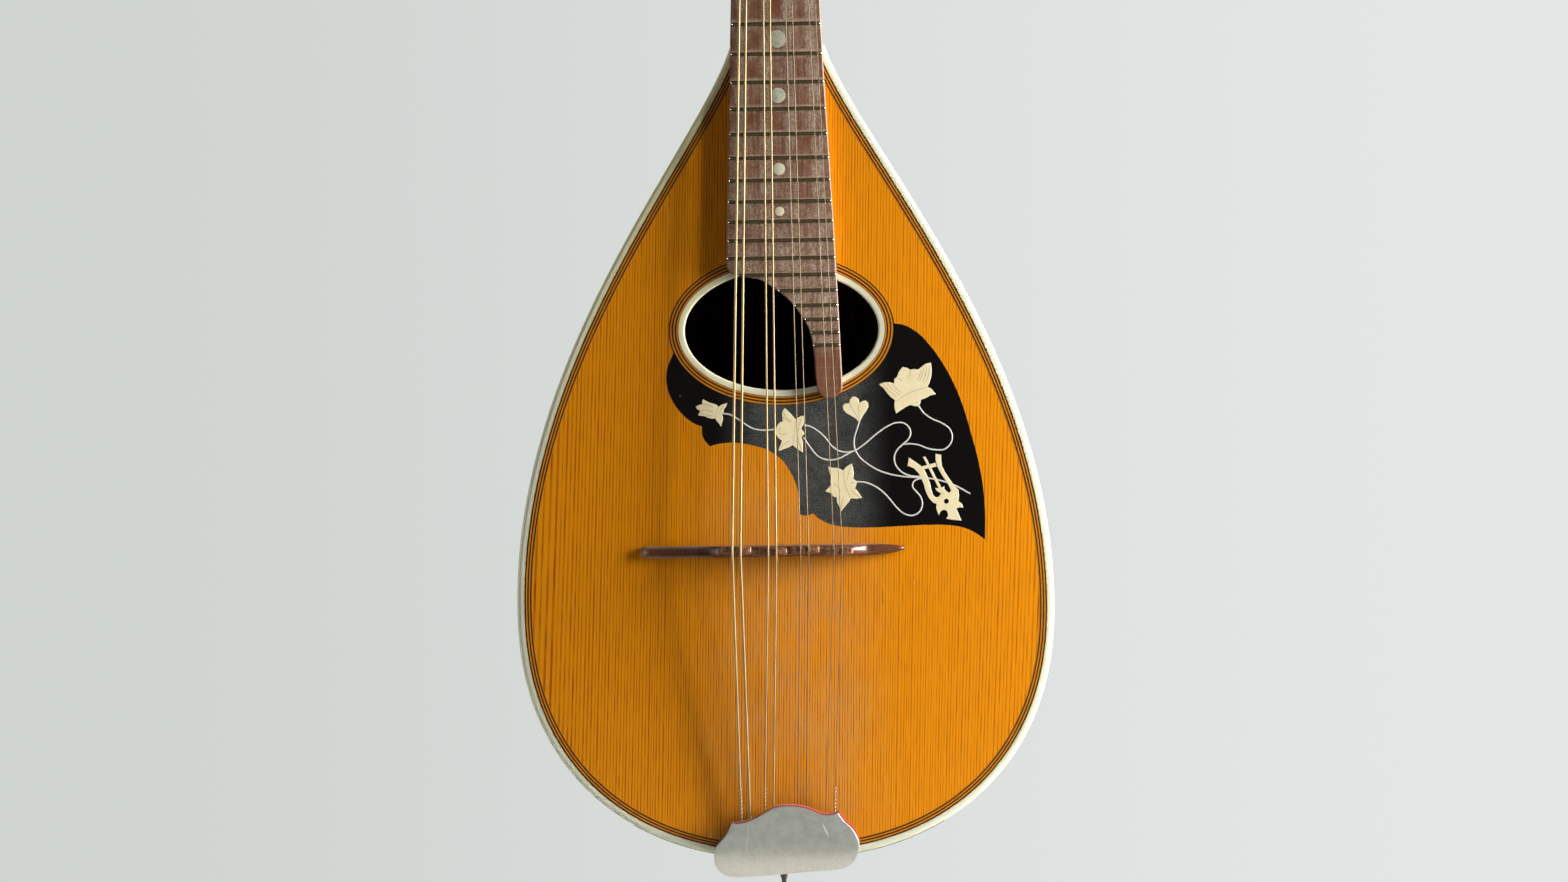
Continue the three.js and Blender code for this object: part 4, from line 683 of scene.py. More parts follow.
# Each tendril is one smooth run. Two of them start on the whole picture.
tendril_starts = close_ups([
    [(804, 425), (810, 426.4), (816.5, 430)],
    [(803.3, 437.5), (806.3, 441.7), (810, 447)]], {})
tendril_ends = close_ups([
    [(50, 745), (100, 810), (160, 855), (220, 870), (310, 855), (400, 795), (500, 710), (600, 640),
     (680, 607), (740, 607), (790, 640), (812, 690), (800, 740), (740, 800), (690, 850), (665, 910),
     (675, 980), (720, 1040), (800, 1080), (905, 1090)],
    [(0, 918), (80, 940), (160, 930), (240, 890), (315, 853)]], right_view)
tendril_runs = close_ups([
    [(430, 243), (500, 250), (570, 280), (650, 330), (720, 380), (800, 430), (900, 455), (1000, 460),
     (1120, 446)]], left_view)
tendril_runs += [np.vstack(pair) for pair in zip(tendril_starts, tendril_ends)]
tendril_runs += close_ups([
    [(352, 600), (325, 680), (305, 760), (315, 850), (360, 920), (440, 985), (540, 1040), (660, 1075),
     (780, 1092), (900, 1098), (1000, 1108), (1100, 1130), (1200, 1165), (1345, 1243)],
    [(880, 452), (930, 520), (1000, 570), (1100, 615), (1160, 660), (1185, 730), (1165, 800),
     (1110, 845), (1050, 850), (960, 835), (880, 805), (800, 795), (740, 800)],
    [(328, 1135), (400, 1140), (470, 1165), (550, 1215), (620, 1285), (690, 1370), (750, 1420),
     (820, 1438), (880, 1415), (915, 1350), (905, 1280), (860, 1220), (828, 1180), (838, 1135),
     (880, 1110), (920, 1108)]], right_view)
engraved_runs = close_ups([
    [(372, 155), (348, 200), (338, 250), (330, 302)],
    [(165, 122), (230, 128), (300, 165)],
    [(150, 205), (230, 200), (310, 225)],
    [(140, 240), (220, 262), (300, 275)],
    [(440, 140), (400, 200), (372, 260)],
    [(1388, 320), (1378, 400), (1362, 480), (1356, 560), (1352, 645)],
    [(1222, 230), (1250, 290), (1320, 345)],
    [(1215, 290), (1260, 330), (1310, 350)],
    [(1190, 420), (1160, 470), (1200, 520), (1260, 500)],
    [(1170, 715), (1220, 650), (1300, 600)],
    [(1455, 300), (1430, 380), (1420, 470)],
    [(1460, 720), (1430, 640), (1415, 560)]], left_view) + close_ups([
    [(262, 432), (280, 470), (320, 530), (345, 580)],
    [(352, 432), (345, 480), (350, 560)],
    [(688, 414), (740, 375), (800, 340), (860, 315), (920, 298), (962, 288)],
    [(980, 95), (975, 170), (950, 240)],
    [(955, 105), (945, 180), (920, 240)],
    [(930, 120), (915, 180), (890, 240)],
    [(905, 140), (890, 190), (870, 230)],
    [(565, 262), (620, 320), (690, 378)],
    [(600, 255), (655, 310), (715, 360)],
    [(640, 258), (685, 300), (730, 340)],
    [(700, 205), (735, 235)],
    [(808, 135), (806, 170), (785, 205)],
    [(850, 430), (880, 420)],
    [(212, 1040), (216, 1110), (228, 1170), (250, 1230), (272, 1280)],
    [(275, 1000), (255, 1060), (245, 1120)],
    [(310, 1140), (270, 1150)],
    [(120, 1150), (160, 1180), (190, 1230)],
    [(365, 1275), (310, 1240), (280, 1210)],
    [(190, 1380), (200, 1310), (215, 1260)]], right_view)

inlay_cream, tree, shader, place = finish("sawn_cream_celluloid", "#F0DFB4", 0.35,
                                          Subsurface_Weight=0.1, Subsurface_Scale=0.001)
cream = two_toned(tree, place, 260.0, "#EED6A0", "#FCEFCC")
feed(tree, shader, {"Base Color": cream})
for number, plan in enumerate(flower_plans):
    flower = plate(plan, [(0, 0.1), (0, -0.09), (0.1, -0.15)])
    fit(make(f"inlay_flower_{number + 1}", flower, inlay_cream, 12), "instrument", "cream_binding")
lyre = [plate(plan, [(0, 0.1), (0, -0.09), (0.08, -0.14)]) for plan in lyre_plans]
fit(make("inlay_lyre", lyre, inlay_cream, 12), "instrument", "cream_binding")


def strand(path, width, depth=None, sides=10, up=(0, -1, 0)):
    """A rod along a path: rings of a half width and half depth, square to the path, with the
    depth kept towards up."""
    path = np.asarray(path, float)
    along = np.gradient(path, axis=0)
    along /= np.linalg.norm(along, axis=1)[:, None]
    up = np.asarray(up, float) - along * (along @ np.asarray(up, float))[:, None]
    up /= np.linalg.norm(up, axis=1)[:, None]
    side = np.cross(along, up)
    turn = np.linspace(0, 2 * np.pi, sides, endpoint=False)[None, :, None]
    wide = np.broadcast_to(width, len(path))[:, None, None]
    deep = np.broadcast_to(width if depth is None else depth, len(path))[:, None, None]
    return grid(path[:, None] + side[:, None] * np.cos(turn) * wide + up[:, None] * np.sin(turn) * deep,
                around=True, ends=True)


tendril_white, tree, shader, place = finish("white_celluloid_strip", "#D8D4C8", 0.4)
mixed = two_toned(tree, place, 900.0, "#CCC8BA", "#E4E0D6")
feed(tree, shader, {"Base Color": mixed})
tendrils = [strand(laid(flowing(run, 0.8), -0.06), 0.28, 0.09, 8) for run in tendril_runs]
fit(make("inlay_tendrils", tendrils, tendril_white), "instrument", "cream_binding")
engraver_ink, tree, shader, place = finish("ink_in_engraved_lines", "#A08858", 0.7)
mixed = two_toned(tree, place, 1500.0, "#907848", "#B09868")
feed(tree, shader, {"Base Color": mixed})
engraving = [strand(laid(flowing(run, 0.5), -0.15), 0.07, 0.02, 6) for run in engraved_runs]
fit(make("inlay_engraving", engraving, engraver_ink), "instrument", "cream_binding")


def round_plan(middle, radius):
    """The plan of a round piece, as 24 points."""
    turn = np.linspace(0, 2 * np.pi, 24, endpoint=False)
    return middle + radius * np.stack([np.cos(turn), np.sin(turn)], -1)


eye = round_plan(close_up([(1133, 1310)], **right_view)[0], 0.95)
fit(make("lyre_eye", plate(eye, [(0, 0.0), (0, -0.16)]), guard_black), "instrument", "black_guard")


# Fingerboard
# Rosewood, oiled and never varnished, 3.5 mm thick, with a tongue that hangs over the soundhole.
# It is clean and red between the string pairs, and dusty along them and beside the frets.
scale_length = 340.5
nut_half, nut_line = 12.8, -0.3
tongue_run = [(726.6, 265.3), (728.1, 269.9), (733.5, 274.5), (745.7, 277.2), (759.5, 279.8), (774, 288.3),
              (782.5, 294.4), (792.4, 303.6), (802.4, 317.3), (809.2, 329.6), (812.3, 341.8), (814.3, 357.1),
              (816.1, 380.1), (818.4, 391.6), (822.2, 396.2), (828.4, 397.7), (836, 396.2), (841.4, 390.8),
              (842.2, 380.1)]
tongue = flowing(close_up(tongue_run), 0.8)
treble_corner, bass_corner = (nut_half, nut_line), (-nut_half, nut_line)
bass_edge = np.linspace(bass_corner, tongue[0], 60)[1:-1]
treble_edge = np.linspace(tongue[-1], treble_corner, 60)[1:-1]
board_plan = np.vstack([np.linspace(treble_corner, bass_corner, 8), bass_edge, tongue, treble_edge])


def slimmed(x, z):
    """x - e^(-((z + 140) / 60)^2) mm on the treble side: the edge lies 1 mm further in at z = -140."""
    return x - np.clip(x / 10, 0, 1) * np.exp(-((z + 140) / 60) ** 2)


board_plan[:, 0] = slimmed(board_plan[:, 0], board_plan[:, 1])


def straight(plan, y):
    """Points of a plan view at a plain depth."""
    return np.stack([plan[..., 0], np.full(plan.shape[:-1], float(y)), plan[..., 1]], -1)


board_wood, tree, shader, place = finish("oiled_rosewood", "#6A4034", 0.55)
axes = add(tree, "SeparateXYZ", {"Vector": place})
# The place in its fret space, by equal temperament: 12 spaces for each halving of the length.
left_over = add(tree, "Math", {0: (axes, "Z"), 1: 1000 / scale_length, 2: 1.0}, operation="MULTIPLY_ADD")
octave = add(tree, "Math", {0: left_over, 1: 2.0}, operation="LOGARITHM")
in_frets = add(tree, "Math", {0: octave, 1: -12.0}, operation="MULTIPLY")
within = add(tree, "Math", {0: in_frets}, operation="FRACT")
centred = add(tree, "Math", {0: within, 1: -0.5}, operation="ADD")
from_fret = add(tree, "Math", {0: centred}, operation="ABSOLUTE")
by_fret = add(tree, "MapRange", {"Value": from_fret, "From": (0.2, 0.48), "To": (0.0, 0.6)},
              interpolation_type="SMOOTHSTEP")
# The place across the board: the pairs fan out from 6.2 mm apart at the nut.
widening = add(tree, "Math", {0: (axes, "Z"), 1: -18.5, 2: 6.2}, operation="MULTIPLY_ADD")
in_pairs = add(tree, "Math", {0: (axes, "X"), 1: 1000.0}, operation="MULTIPLY")
across = add(tree, "Math", {0: in_pairs, 1: widening}, operation="DIVIDE")
turned = add(tree, "Math", {0: across, 1: 2 * math.pi, 2: math.pi}, operation="MULTIPLY_ADD")
pairs = add(tree, "Math", {0: turned}, operation="COSINE")
by_pair = add(tree, "MapRange", {"Value": pairs, "From": (-0.85, 0.9), "To": (0.0, 0.8)},
              interpolation_type="SMOOTHSTEP")
streak = grained(tree, place, 1100.0, (1, 1, 0.05))
red = add(tree, "Mix", {"Factor": streak, "A": "#42200C", "B": "#8C4E26"})
streaky = add(tree, "MapRange", {"Value": streak, "From": (0.32, 0.68), "To": (0.35, 1.25)})
cloudy = mottled(tree, place, 160.0, (0.3, 0.7), (-0.15, 0.4), Detail=5.0)
most = add(tree, "Math", {0: by_fret, 1: by_pair}, operation="MAXIMUM")
# The high frets are hardly played, so dust lies all over them.
unplayed = add(tree, "MapRange", {"Value": (axes, "Z"), "From": (-0.15, -0.225), "To": (0.0, 0.55)})
most = add(tree, "Math", {0: most, 1: unplayed}, operation="MAXIMUM")
clouded = add(tree, "Math", {0: most, 1: cloudy}, operation="ADD")
dust = add(tree, "Math", {0: clouded, 1: streaky}, operation="MULTIPLY", use_clamp=True)
# The plain end of the tongue is clean.
played = add(tree, "MapRange", {"Value": (axes, "Z"), "From": (-0.264, -0.260), "To": (0.12, 0.85)})
left_dusty = add(tree, "Math", {0: dust, 1: played}, operation="MULTIPLY")
# Grit shows as fine grains, here drawn 0.6 mm wide.
grit = mottled(tree, place, 1700.0, (0.35, 0.65), (0.0, 1.0), Detail=2.0)
dusty = add(tree, "Mix", {"Factor": grit, "A": "#806A54", "B": "#CCB9A4"})
dusted = add(tree, "Mix", {"Factor": left_dusty, "A": red, "B": dusty})
# Above each fret lies a line of dust, and a thin strip along the treble edge is paler.
above = add(tree, "MapRange", {"Value": within, "From": (0.82, 0.9), "To": (0.0, 0.55)})
above_played = add(tree, "Math", {0: above, 1: played}, operation="MULTIPLY")
bell = add(tree, "MapRange", {"Value": (axes, "Z"), "From": (-0.22, -0.15), "To": (0.0, 0.001)},
           interpolation_type="SMOOTHSTEP")
sloped = add(tree, "Math", {0: (axes, "Z"), 1: 0.0365, 2: bell}, operation="MULTIPLY_ADD")
rimmed = add(tree, "Math", {0: sloped, 1: (axes, "X")}, operation="ADD")
worn = add(tree, "MapRange", {"Value": rimmed, "From": (0.0121, 0.0126), "To": (0.0, 0.75)})
pale = add(tree, "Math", {0: above_played, 1: worn}, operation="MAXIMUM")
edged = add(tree, "Mix", {"Factor": pale, "A": dusted, "B": "#D0B09C"})
pores = add(tree, "Bump", {"Height": streak, "Strength": 0.25, "Distance": 0.0002})
feed(tree, shader, {"Base Color": edged, "Normal": pores})
# Its face lies 3.8 mm above the soundboard's, and its edges are eased.
board_face = -3.8
board_profile = [(0, -0.3), (0, -3.45), (0.12, -3.7), (0.4, board_face)]
fit(make("fingerboard_wood", plate(board_plan, board_profile, straight), board_wood, 12),
    "instrument", "rosewood", "fingerboard")


# Frets
# Bars of old brass wire, hammered into sawn slots and filed flush at the ends. The ends carry a painted
# highlight of the treble-side lamp. Elsewhere the brass has gone dull olive brown.
fret_brass, tree, shader, place = finish("tarnished_brass_wire", "#4A4226", 0.5, 0.4)
dull = two_toned(tree, place, 900.0, "#2E2814", "#5E5434")
feed(tree, shader, {"Base Color": dull})
# The ends are painted bright: a painted highlight of the lamp.
painted_glint_brass, tree, shader, place = finish("painted_glint_on_brass_ends", "#E6DDC0", 0.2, 1.0)
mixed = two_toned(tree, place, 2000.0, "#D8CEAE", "#F4ECD2")
feed(tree, shader, {"Base Color": mixed})


def board_edges(z):
    """Where the fingerboard's two edges lie at a height, on the traced tongue and straight above it."""
    treble = np.interp(-z, [-nut_line, -tongue[-1, 1]], [nut_half, tongue[-1, 0]])
    order = np.argsort(-tongue[:-14, 1])
    bass = np.interp(-z, [-nut_line, *(-tongue[order, 1])], [-nut_half, *tongue[order, 0]])
    return bass, slimmed(treble, z)


def fret_line(number):
    """The height of a fret by equal temperament, below the nut."""
    return -scale_length * (1 - 2 ** (-number / 12))


fret_count = 25
bars, glint_tips = [], []
for number in range(1, fret_count + 1):
    z = fret_line(number)
    bass, treble = board_edges(z)
    run = np.linspace(bass + 0.25, treble - 0.25, 24)
    crown = np.where(np.abs(np.arange(24) - 11.5) > 11, 0.6, 0.88)
    bars.append(strand(np.stack([run, np.full(24, board_face), np.full(24, z)], -1), 0.7, crown, 12))
    # The painted highlight on the ends is smaller on the bass side, away from the lamp.
    for x, size in ((bass + 0.45, 0.6), (treble - 0.55, 1.0)):
        short = np.linspace(x - 0.45 * size, x + 0.45 * size, 5)
        tip = np.stack([short, np.full(5, board_face - 0.02), np.full(5, z)], -1)
        glint_tips.append(strand(tip, 0.5 * size, [0.5, 0.8, 0.92, 0.8, 0.5], 10))
fit(make("frets", bars, fret_brass), "instrument", "machine_brass")
fit(make("fret_end_glints", glint_tips, painted_glint_brass), "instrument", "machine_brass")


# Position dots
# Discs of mother of pearl let into the fingerboard at frets 5, 7, 10, 12, 15 and 17, greenish
# cream, the largest at the tenth.
pearl, tree, shader, place = finish("mother_of_pearl", "#C6C8AE", 0.22, Coat_Weight=0.3)
layers = grained(tree, place, 420.0, Detail=2.0, Distortion=1.2)
hues = add(tree, "ValToRGB", {"Fac": layers})
for stop, position, colour in zip(hues.color_ramp.elements, (0.35, 0.65), ("#96A08C", "#C2BEA6")):
    stop.position, stop.color = position, linear(colour)
axes = add(tree, "SeparateXYZ", {"Vector": place})
nearer = add(tree, "MapRange", {"Value": (axes, "Z"), "From": (-0.15, -0.21)})
paler = add(tree, "Mix", {"Factor": nearer, "A": hues, "B": "#E4DEC0"})
feed(tree, shader, {"Base Color": paler})
dots = []
for number, radius in ((5, 2.4), (7, 2.7), (10, 3.4), (12, 2.9), (15, 2.3), (17, 1.75)):
    middle = (fret_line(number - 1) + fret_line(number)) / 2
    dots.append(plate(round_plan((0, middle), radius), [(0, -3.5), (0, -3.81), (0.1, -3.84)], straight))
fit(make("pearl_dots", dots, pearl), "instrument", "cream_binding")


# Neck and head
# One length of walnut-coloured hardwood, round behind, with a scarfed head that leans back by
# 15 degrees under a rosewood veneer, pierced for eight posts.
neck_wood, tree, shader, place = finish("polished_neck_hardwood", "#7A4626", 0.3,
                                        Coat_Weight=0.4, Coat_Roughness=0.15)
wood = two_toned(tree, place, 420.0, "#5A2E16", "#94582E", (1, 1, 0.05), Detail=5.0, Distortion=0.5)
feed(tree, shader, {"Base Color": wood})

head_lean = math.radians(-15)
# The head leans back from this height, and is 50 mm wide.
head_start, head_half = 4.8, 25


def on_head(points):
    """Points of the head's own frame, turned back about the line behind the nut."""
    x, y, z = np.moveaxis(np.asarray(points, float), -1, 0)
    return np.stack([x, y * math.cos(head_lean) - z * math.sin(head_lean),
                     head_start + y * math.sin(head_lean) + z * math.cos(head_lean)], -1)


# The shaft from the body to the head: half an oval that tapers towards the nut, swells into a heel
# over the lowest 60 mm, and is cut thinner just under the head.
heel_half, neck_depth, heel_swell, neck_start = 17.87, 17, 18.1, -145.6
neck_length = head_start - neck_start
share = np.linspace(0, 1, 60)[:, None]
turn_back = np.linspace(0, np.pi, 33)[None, :]
z = neck_start + share * neck_length
half = heel_half + (nut_half - heel_half) * share
swell = heel_swell * np.clip(1 - share * neck_length / 60, 0, 1) ** 3
depth = neck_depth + swell - 4.5 * np.clip(share * 30 - 29, 0, 1)
shaft = np.stack([slimmed(-half * np.cos(turn_back), z), depth * np.sin(turn_back) ** 0.85,
                  z + 0 * turn_back], -1)
shoulder = flowing([(nut_half, 1), (14.5, 7.5), (21, 11.5), (head_half, 18), (head_half, 22)], 1.5)
crest = flowing([(head_half, 137), (20, 137.2), (12.5, 138.8), (7, 142.5), (0, 146)], 1.2)
straight_side = [(head_half, 60), (head_half, 100), (head_half, 134)]
head_right = np.vstack([[(nut_half, 0)], shoulder, straight_side, crest])
head_plan = np.vstack([head_right, head_right[-2::-1] * (-1, 1)])


def on_head_plan(plan, y):
    """Points of the head's plan view at a depth in its own frame."""
    return on_head(straight(plan, y))


blade = plate(head_plan, [(1.2, 12.5), (0.3, 12.1), (0, 11.3), (0, 0.4), (0.2, 0)], on_head_plan)
fit(make("neck_and_head", [grid(shaft, around=True, ends=True), blade], neck_wood),
    "instrument", "neck_wood", "neck")
veneer, tree, shader, place = finish("polished_rosewood_veneer", "#4A2418", 0.3,
                                     Coat_Weight=0.3, Coat_Roughness=0.15)
wood = two_toned(tree, place, 480.0, "#22100B", "#74402A", (1, 0, 0.06), Detail=5.0, Distortion=0.4)
feed(tree, shader, {"Base Color": wood})
veneer_plan = head_plan[head_plan[:, 1] > 4.6]
fit(make("head_facing", plate(veneer_plan, [(0, -0.05), (0, -1.3), (0.2, -1.5)], on_head_plan), veneer, 12),
    "instrument", "rosewood", "head_veneer")


# Nut
# Sawn from bone and polished, with a filed slot for each string.
bone, tree, shader, place = finish("polished_bone", "#E6DCBE", 0.35,
                                   Subsurface_Weight=0.1, Subsurface_Scale=0.001)
cream = two_toned(tree, place, 1200.0, "#D2C49C", "#F0E8D2", (0.2, 1, 1))
feed(tree, shader, {"Base Color": cream})
nut_places = np.array([pair + side * 1.05 for pair in (-9.2, -3.0, 3.0, 9.2) for side in (-1, 1)])
x = np.linspace(-nut_half, nut_half, 257)[:, None]
notch = np.min(np.abs(x - nut_places[None, :]), axis=1, keepdims=True) < 0.55
step = np.radians(np.linspace(-20, 110, 14))[None, :]
top = -3.6 - 2.3 * np.cos(step * 0.8) + 0.95 * notch
back = 0.03 + 2.2 - 2.2 * np.cos(np.linspace(0, np.pi, 14))[None, :]
roof = np.stack([x + 0 * step, np.minimum(top, -1.0), back + 0 * x], -1)
sill = np.stack([x + 0 * step, np.full((257, 14), -0.2), back + 0 * x], -1)[:, ::-1]
nut = grid(np.concatenate([roof, sill], 1), around=True, ends=True)
fit(make("bone_nut", nut, bone), "instrument", "bone", "nut")


# Tuning machines
# Eight worm gears on two stamped brass plates behind the head. Each key is a steel worm with a
# bone button, and turns a brass wheel of 14 teeth on its string post.
plate_brass, tree, shader, place = finish("stamped_brass_sheet", "#A88A4C", 0.32, 1.0)
spots = grained(tree, place, 130.0, Detail=5.0)
dull = add(tree, "Mix", {"Factor": spots, "A": "#7A6434", "B": "#C8AC68"})
rough = add(tree, "MapRange", {"Value": spots, "To": (0.2, 0.5)})
feed(tree, shader, {"Base Color": dull, "Roughness": rough})
refinish(plate_brass, "tuner_plate_bass", "tuner_plate_treble")

turned_steel, tree, shader, place = finish("turned_steel", "#B9BABC", 0.25, 1.0)
rough = mottled(tree, place, 400.0, (0.0, 1.0), (0.18, 0.42))
feed(tree, shader, {"Roughness": rough})

# The posts stand 24 mm apart in two rows. Each worm lies behind the head, across its wheel.
post_across, first_post, post_spacing = 15.5, 30, 24
worm_y, mesh_distance, worm_pitch_radius = 16.5, 6.2, 1.7
teeth = 14
wheel_pitch_radius = mesh_distance - worm_pitch_radius
worm_pitch = 2 * math.pi * wheel_pitch_radius / teeth
worm_half = worm_pitch * 2


def turned_piece(profile, axis, sides=28):
    """A profile of radius and place along an axis, turned about it."""
    profile = np.array(profile, float)
    around = np.linspace(0, 2 * np.pi, sides, endpoint=False)[None, :]
    radius, along = profile[:, :1], profile[:, 1:]
    first, second = radius * np.cos(around), radius * np.sin(around)
    rows = {"x": (along + 0 * around, first, second), "y": (first, along + 0 * around, second),
            "z": (first, second, along + 0 * around)}[axis]
    return grid(np.stack(rows, -1), around=True, ends=True)


def wheel(y_front, y_back):
    """The wheel's rim: 14 teeth with a space towards the worm, turned with depth by the worm's lead."""
    tooth = np.arange(teeth)[:, None] + 0.5
    share = np.array([-0.225, -0.16, -0.1, 0.1, 0.16, 0.225])[None, :]
    radius = np.tile(np.array([3.6, 4.6, 4.95, 4.95, 4.6, 3.6]), teeth)
    depth = np.linspace(y_front, y_back, 7)[:, None]
    hollow = 0.35 * (1 - ((depth - worm_y) / 1.2) ** 2)
    lead = worm_pitch / (2 * math.pi * worm_pitch_radius) * (depth - worm_y) / wheel_pitch_radius
    angle = ((tooth + share) * 2 * np.pi / teeth).ravel()[None, :] + lead
    reach = radius[None, :] - hollow * (radius[None, :] > 4)
    rim = np.stack([reach * np.sin(angle), depth + 0 * angle, reach * np.cos(angle)], -1)
    return grid(rim, around=True, ends=True)


def worm():
    """The worm's thread: a trapezoid rib wound along x, nearly four turns that run out at both ends."""
    turns = np.linspace(-1.9, 1.9, 380)
    angle = (turns * 2 * np.pi)[:, None]
    rib = np.array([(-0.27, 0.9), (-0.1, 2.4), (0.1, 2.4), (0.27, 0.9)])
    full = np.clip((1.9 - np.abs(turns)) * 4, 0, 1)[:, None]
    radius = 0.9 + (rib[None, :, 1] - 0.9) * full
    along = (rib[None, :, 0] - turns[:, None]) * worm_pitch
    return grid(np.stack([along, radius * np.cos(angle), radius * np.sin(angle)], -1), around=True, ends=True)


def at_post(skin, side, z):
    """A skin moved from the post's own axis to its place on a side of the head."""
    return {**skin, "points": on_head(skin["points"] + (side * post_across, 0, z))}


def at_key(skin, side, z):
    """A skin moved from the key's own axis to its place, its button outwards."""
    place = (side * post_across, worm_y, z + mesh_distance)
    return {**skin, "points": on_head(skin["points"] * (side, side, 1) + place)}


post_profile = [(0.01, -12.45), (2.2, -12.45), (2.75, -12.2), (3, -11.6), (3, -10.6), (2.55, -9.4),
                (2.4, -8.6), (2.4, -5.2), (2.6, -4.3), (3, -3.4), (3, 14.9), (3.3, 15.1), (3.3, 15.3)]
screw_profile = [(1.5, 17.7), (1.5, 18.2), (1.15, 18.7), (0.6, 18.95), (0.01, 19)]
button_steps = np.array([(0, 0.34), (0.05, 0.37), (0.16, 0.4), (0.26, 0.58), (0.36, 0.78), (0.48, 0.93),
                         (0.6, 0.99), (0.7, 1.0), (0.82, 0.97), (0.92, 0.86), (0.98, 0.7), (1.0, 0.5)])
key_names = ["g1", "g2", "d1", "d2", "a1", "a2", "e1", "e2"]
key_rows = [0, 1, 2, 3, 3, 2, 1, 0]
# The button's collar runs 3 mm clear of the head's side.
collar = head_half - post_across + 3
rod_profile = [(1.2, -7.4), (1.2, -worm_half), (0.9, -worm_half), (0.9, worm_half), (1.2, worm_half),
               (1.2, collar + 1)]
button_profile = np.stack([6.75 * button_steps[:, 1], collar + 12 * button_steps[:, 0]], -1)
for name, row in zip(key_names, key_rows):
    spot = (-1 if name[0] in "gd" else 1, first_post + post_spacing * row)
    post = at_post(turned_piece(post_profile, "y"), *spot)
    fit(make(f"post_{name}", post, turned_steel), f"post_{name}", "post_steel", f"string_post_{name}")
    gear = [at_post(wheel(worm_y - 1.2, worm_y + 1.2), *spot),
            at_post(turned_piece(screw_profile, "y"), *spot)]
    fit(make(f"gear_{name}", gear, plate_brass, 25), f"post_{name}", "machine_brass", f"string_post_{name}")
    rod = [at_key(turned_piece(rod_profile, "x", 20), *spot), at_key(worm(), *spot)]
    fit(make(f"worm_{name}", rod, turned_steel), f"key_{name}", "post_steel", f"tuner_key_{name}")
    button = turned_piece(button_profile, "x", 32)
    button["points"][:, 1] *= 0.6
    fit(make(f"button_{name}", at_key(button, *spot), bone), f"key_{name}", "bone", f"tuner_key_{name}")


# Screws of the machine plates
# Small domed brass screws with a sawn slot, five along each plate.
screw_across = post_across - 5.6
dome_profile = [(0.01, 14.75), (0.9, 14.7), (1.5, 14.45), (1.7, 14.1), (1.7, 13.7)]
screws = []
for side in (-1, 1):
    for z in (22, 42.6, 66.6, 90.6, 107.5):
        dome = turned_piece(dome_profile, "y", 20)
        x, y = dome["points"][:, 0], dome["points"][:, 1]
        y -= 0.25 * ((y > 14.4) & (np.abs(x) < 0.25))
        dome["points"] = on_head(dome["points"] + (side * screw_across, 0, z))
        screws.append(dome)
fit(make("plate_screws", screws, plate_brass), "instrument", "machine_brass")


# Bridge
# A loose strip of rosewood under the strings, 100 mm long, with two low rounded wings and a
# raised saddle that is carved into steps, one step for each pair.
bridge_wood, tree, shader, place = finish("worn_rosewood_bridge", "#4A2A1C", 0.34,
                                          Specular_IOR_Level=0.3, Coat_Weight=0.35)
streak = grained(tree, place, 900.0, (0.15, 1, 1), Detail=4.0, Distortion=0.6)
wood = add(tree, "Mix", {"Factor": streak, "A": "#26120A", "B": "#804824"})
pores = add(tree, "Bump", {"Height": streak, "Strength": 0.3, "Distance": 0.0003})
# The saddle is bare and mottled where the strings rub, and dust lies along its upper side.
axes = add(tree, "SeparateXYZ", {"Vector": place})
fleck = grained(tree, place, 1500.0, Detail=4.0, Distortion=1.0)
flecked = add(tree, "MapRange", {"Value": fleck, "From": (0.42, 0.66), "To": (0.0, 0.85)})
patchy = add(tree, "MapRange", {"Value": fleck, "From": (0.4, 0.6), "To": (0.2, 0.6)})
raised = add(tree, "MapRange", {"Value": (axes, "Y"), "From": (-0.0078, -0.0092)})
bare = add(tree, "Math", {0: flecked, 1: raised}, operation="MULTIPLY")
rubbed = add(tree, "Mix", {"Factor": bare, "A": wood, "B": "#B48660"})
upper = add(tree, "MapRange", {"Value": (axes, "Z"), "From": (-0.3363, -0.3359), "To": (0.0, 0.7)})
dusty = add(tree, "Mix", {"Factor": upper, "A": rubbed, "B": "#9A8674"})
# The hollow bass wing's long rims and its end are painted pale grey: a painted highlight where they catch the
# lamp.
centred = add(tree, "Math", {0: (axes, "Z"), 1: 0.3379}, operation="ADD")
outward = add(tree, "Math", {0: centred}, operation="ABSOLUTE")
on_rim = add(tree, "MapRange", {"Value": outward, "From": (0.0013, 0.0019), "To": (0.0, 0.5)})
on_end = add(tree, "MapRange", {"Value": (axes, "X"), "From": (-0.0525, -0.0535), "To": (0.0, 0.6)})
painted_rim_highlight = add(tree, "Math", {0: on_rim, 1: on_end}, operation="MAXIMUM")
on_wing = add(tree, "MapRange", {"Value": (axes, "X"), "From": (-0.026, -0.032)})
rimmed = add(tree, "Math", {0: painted_rim_highlight, 1: on_wing}, operation="MULTIPLY")
worn = add(tree, "Mix", {"Factor": rimmed, "A": dusty, "B": "#8E7C70"})
feed(tree, shader, {"Base Color": worn, "Normal": pores, "Coat Roughness": patchy})

bridge_z, bridge_middle, bridge_long = -337.9, -4.7, 100.5
share = np.concatenate([[-0.5], np.linspace(-0.499, 0.499, 201), [0.5]])
# Its height along its length: two low wings, with the saddle between them.
height_at = [-0.5, -0.48, -0.36, -0.24, -0.2, -0.185, 0.275, 0.3, 0.357, 0.43, 0.48, 0.49, 0.5]
heights = [1.5, 2.7, 2.9, 3.3, 5.4, 8.9, 9.2, 8.4, 3.8, 3.1, 2.7, 2.5, 1.0]
bell = np.hanning(9)
height = np.pad(np.interp(share, height_at, heights), 3, "edge")
height = np.convolve(height, bell[1:-1] / bell.sum(), "valid")
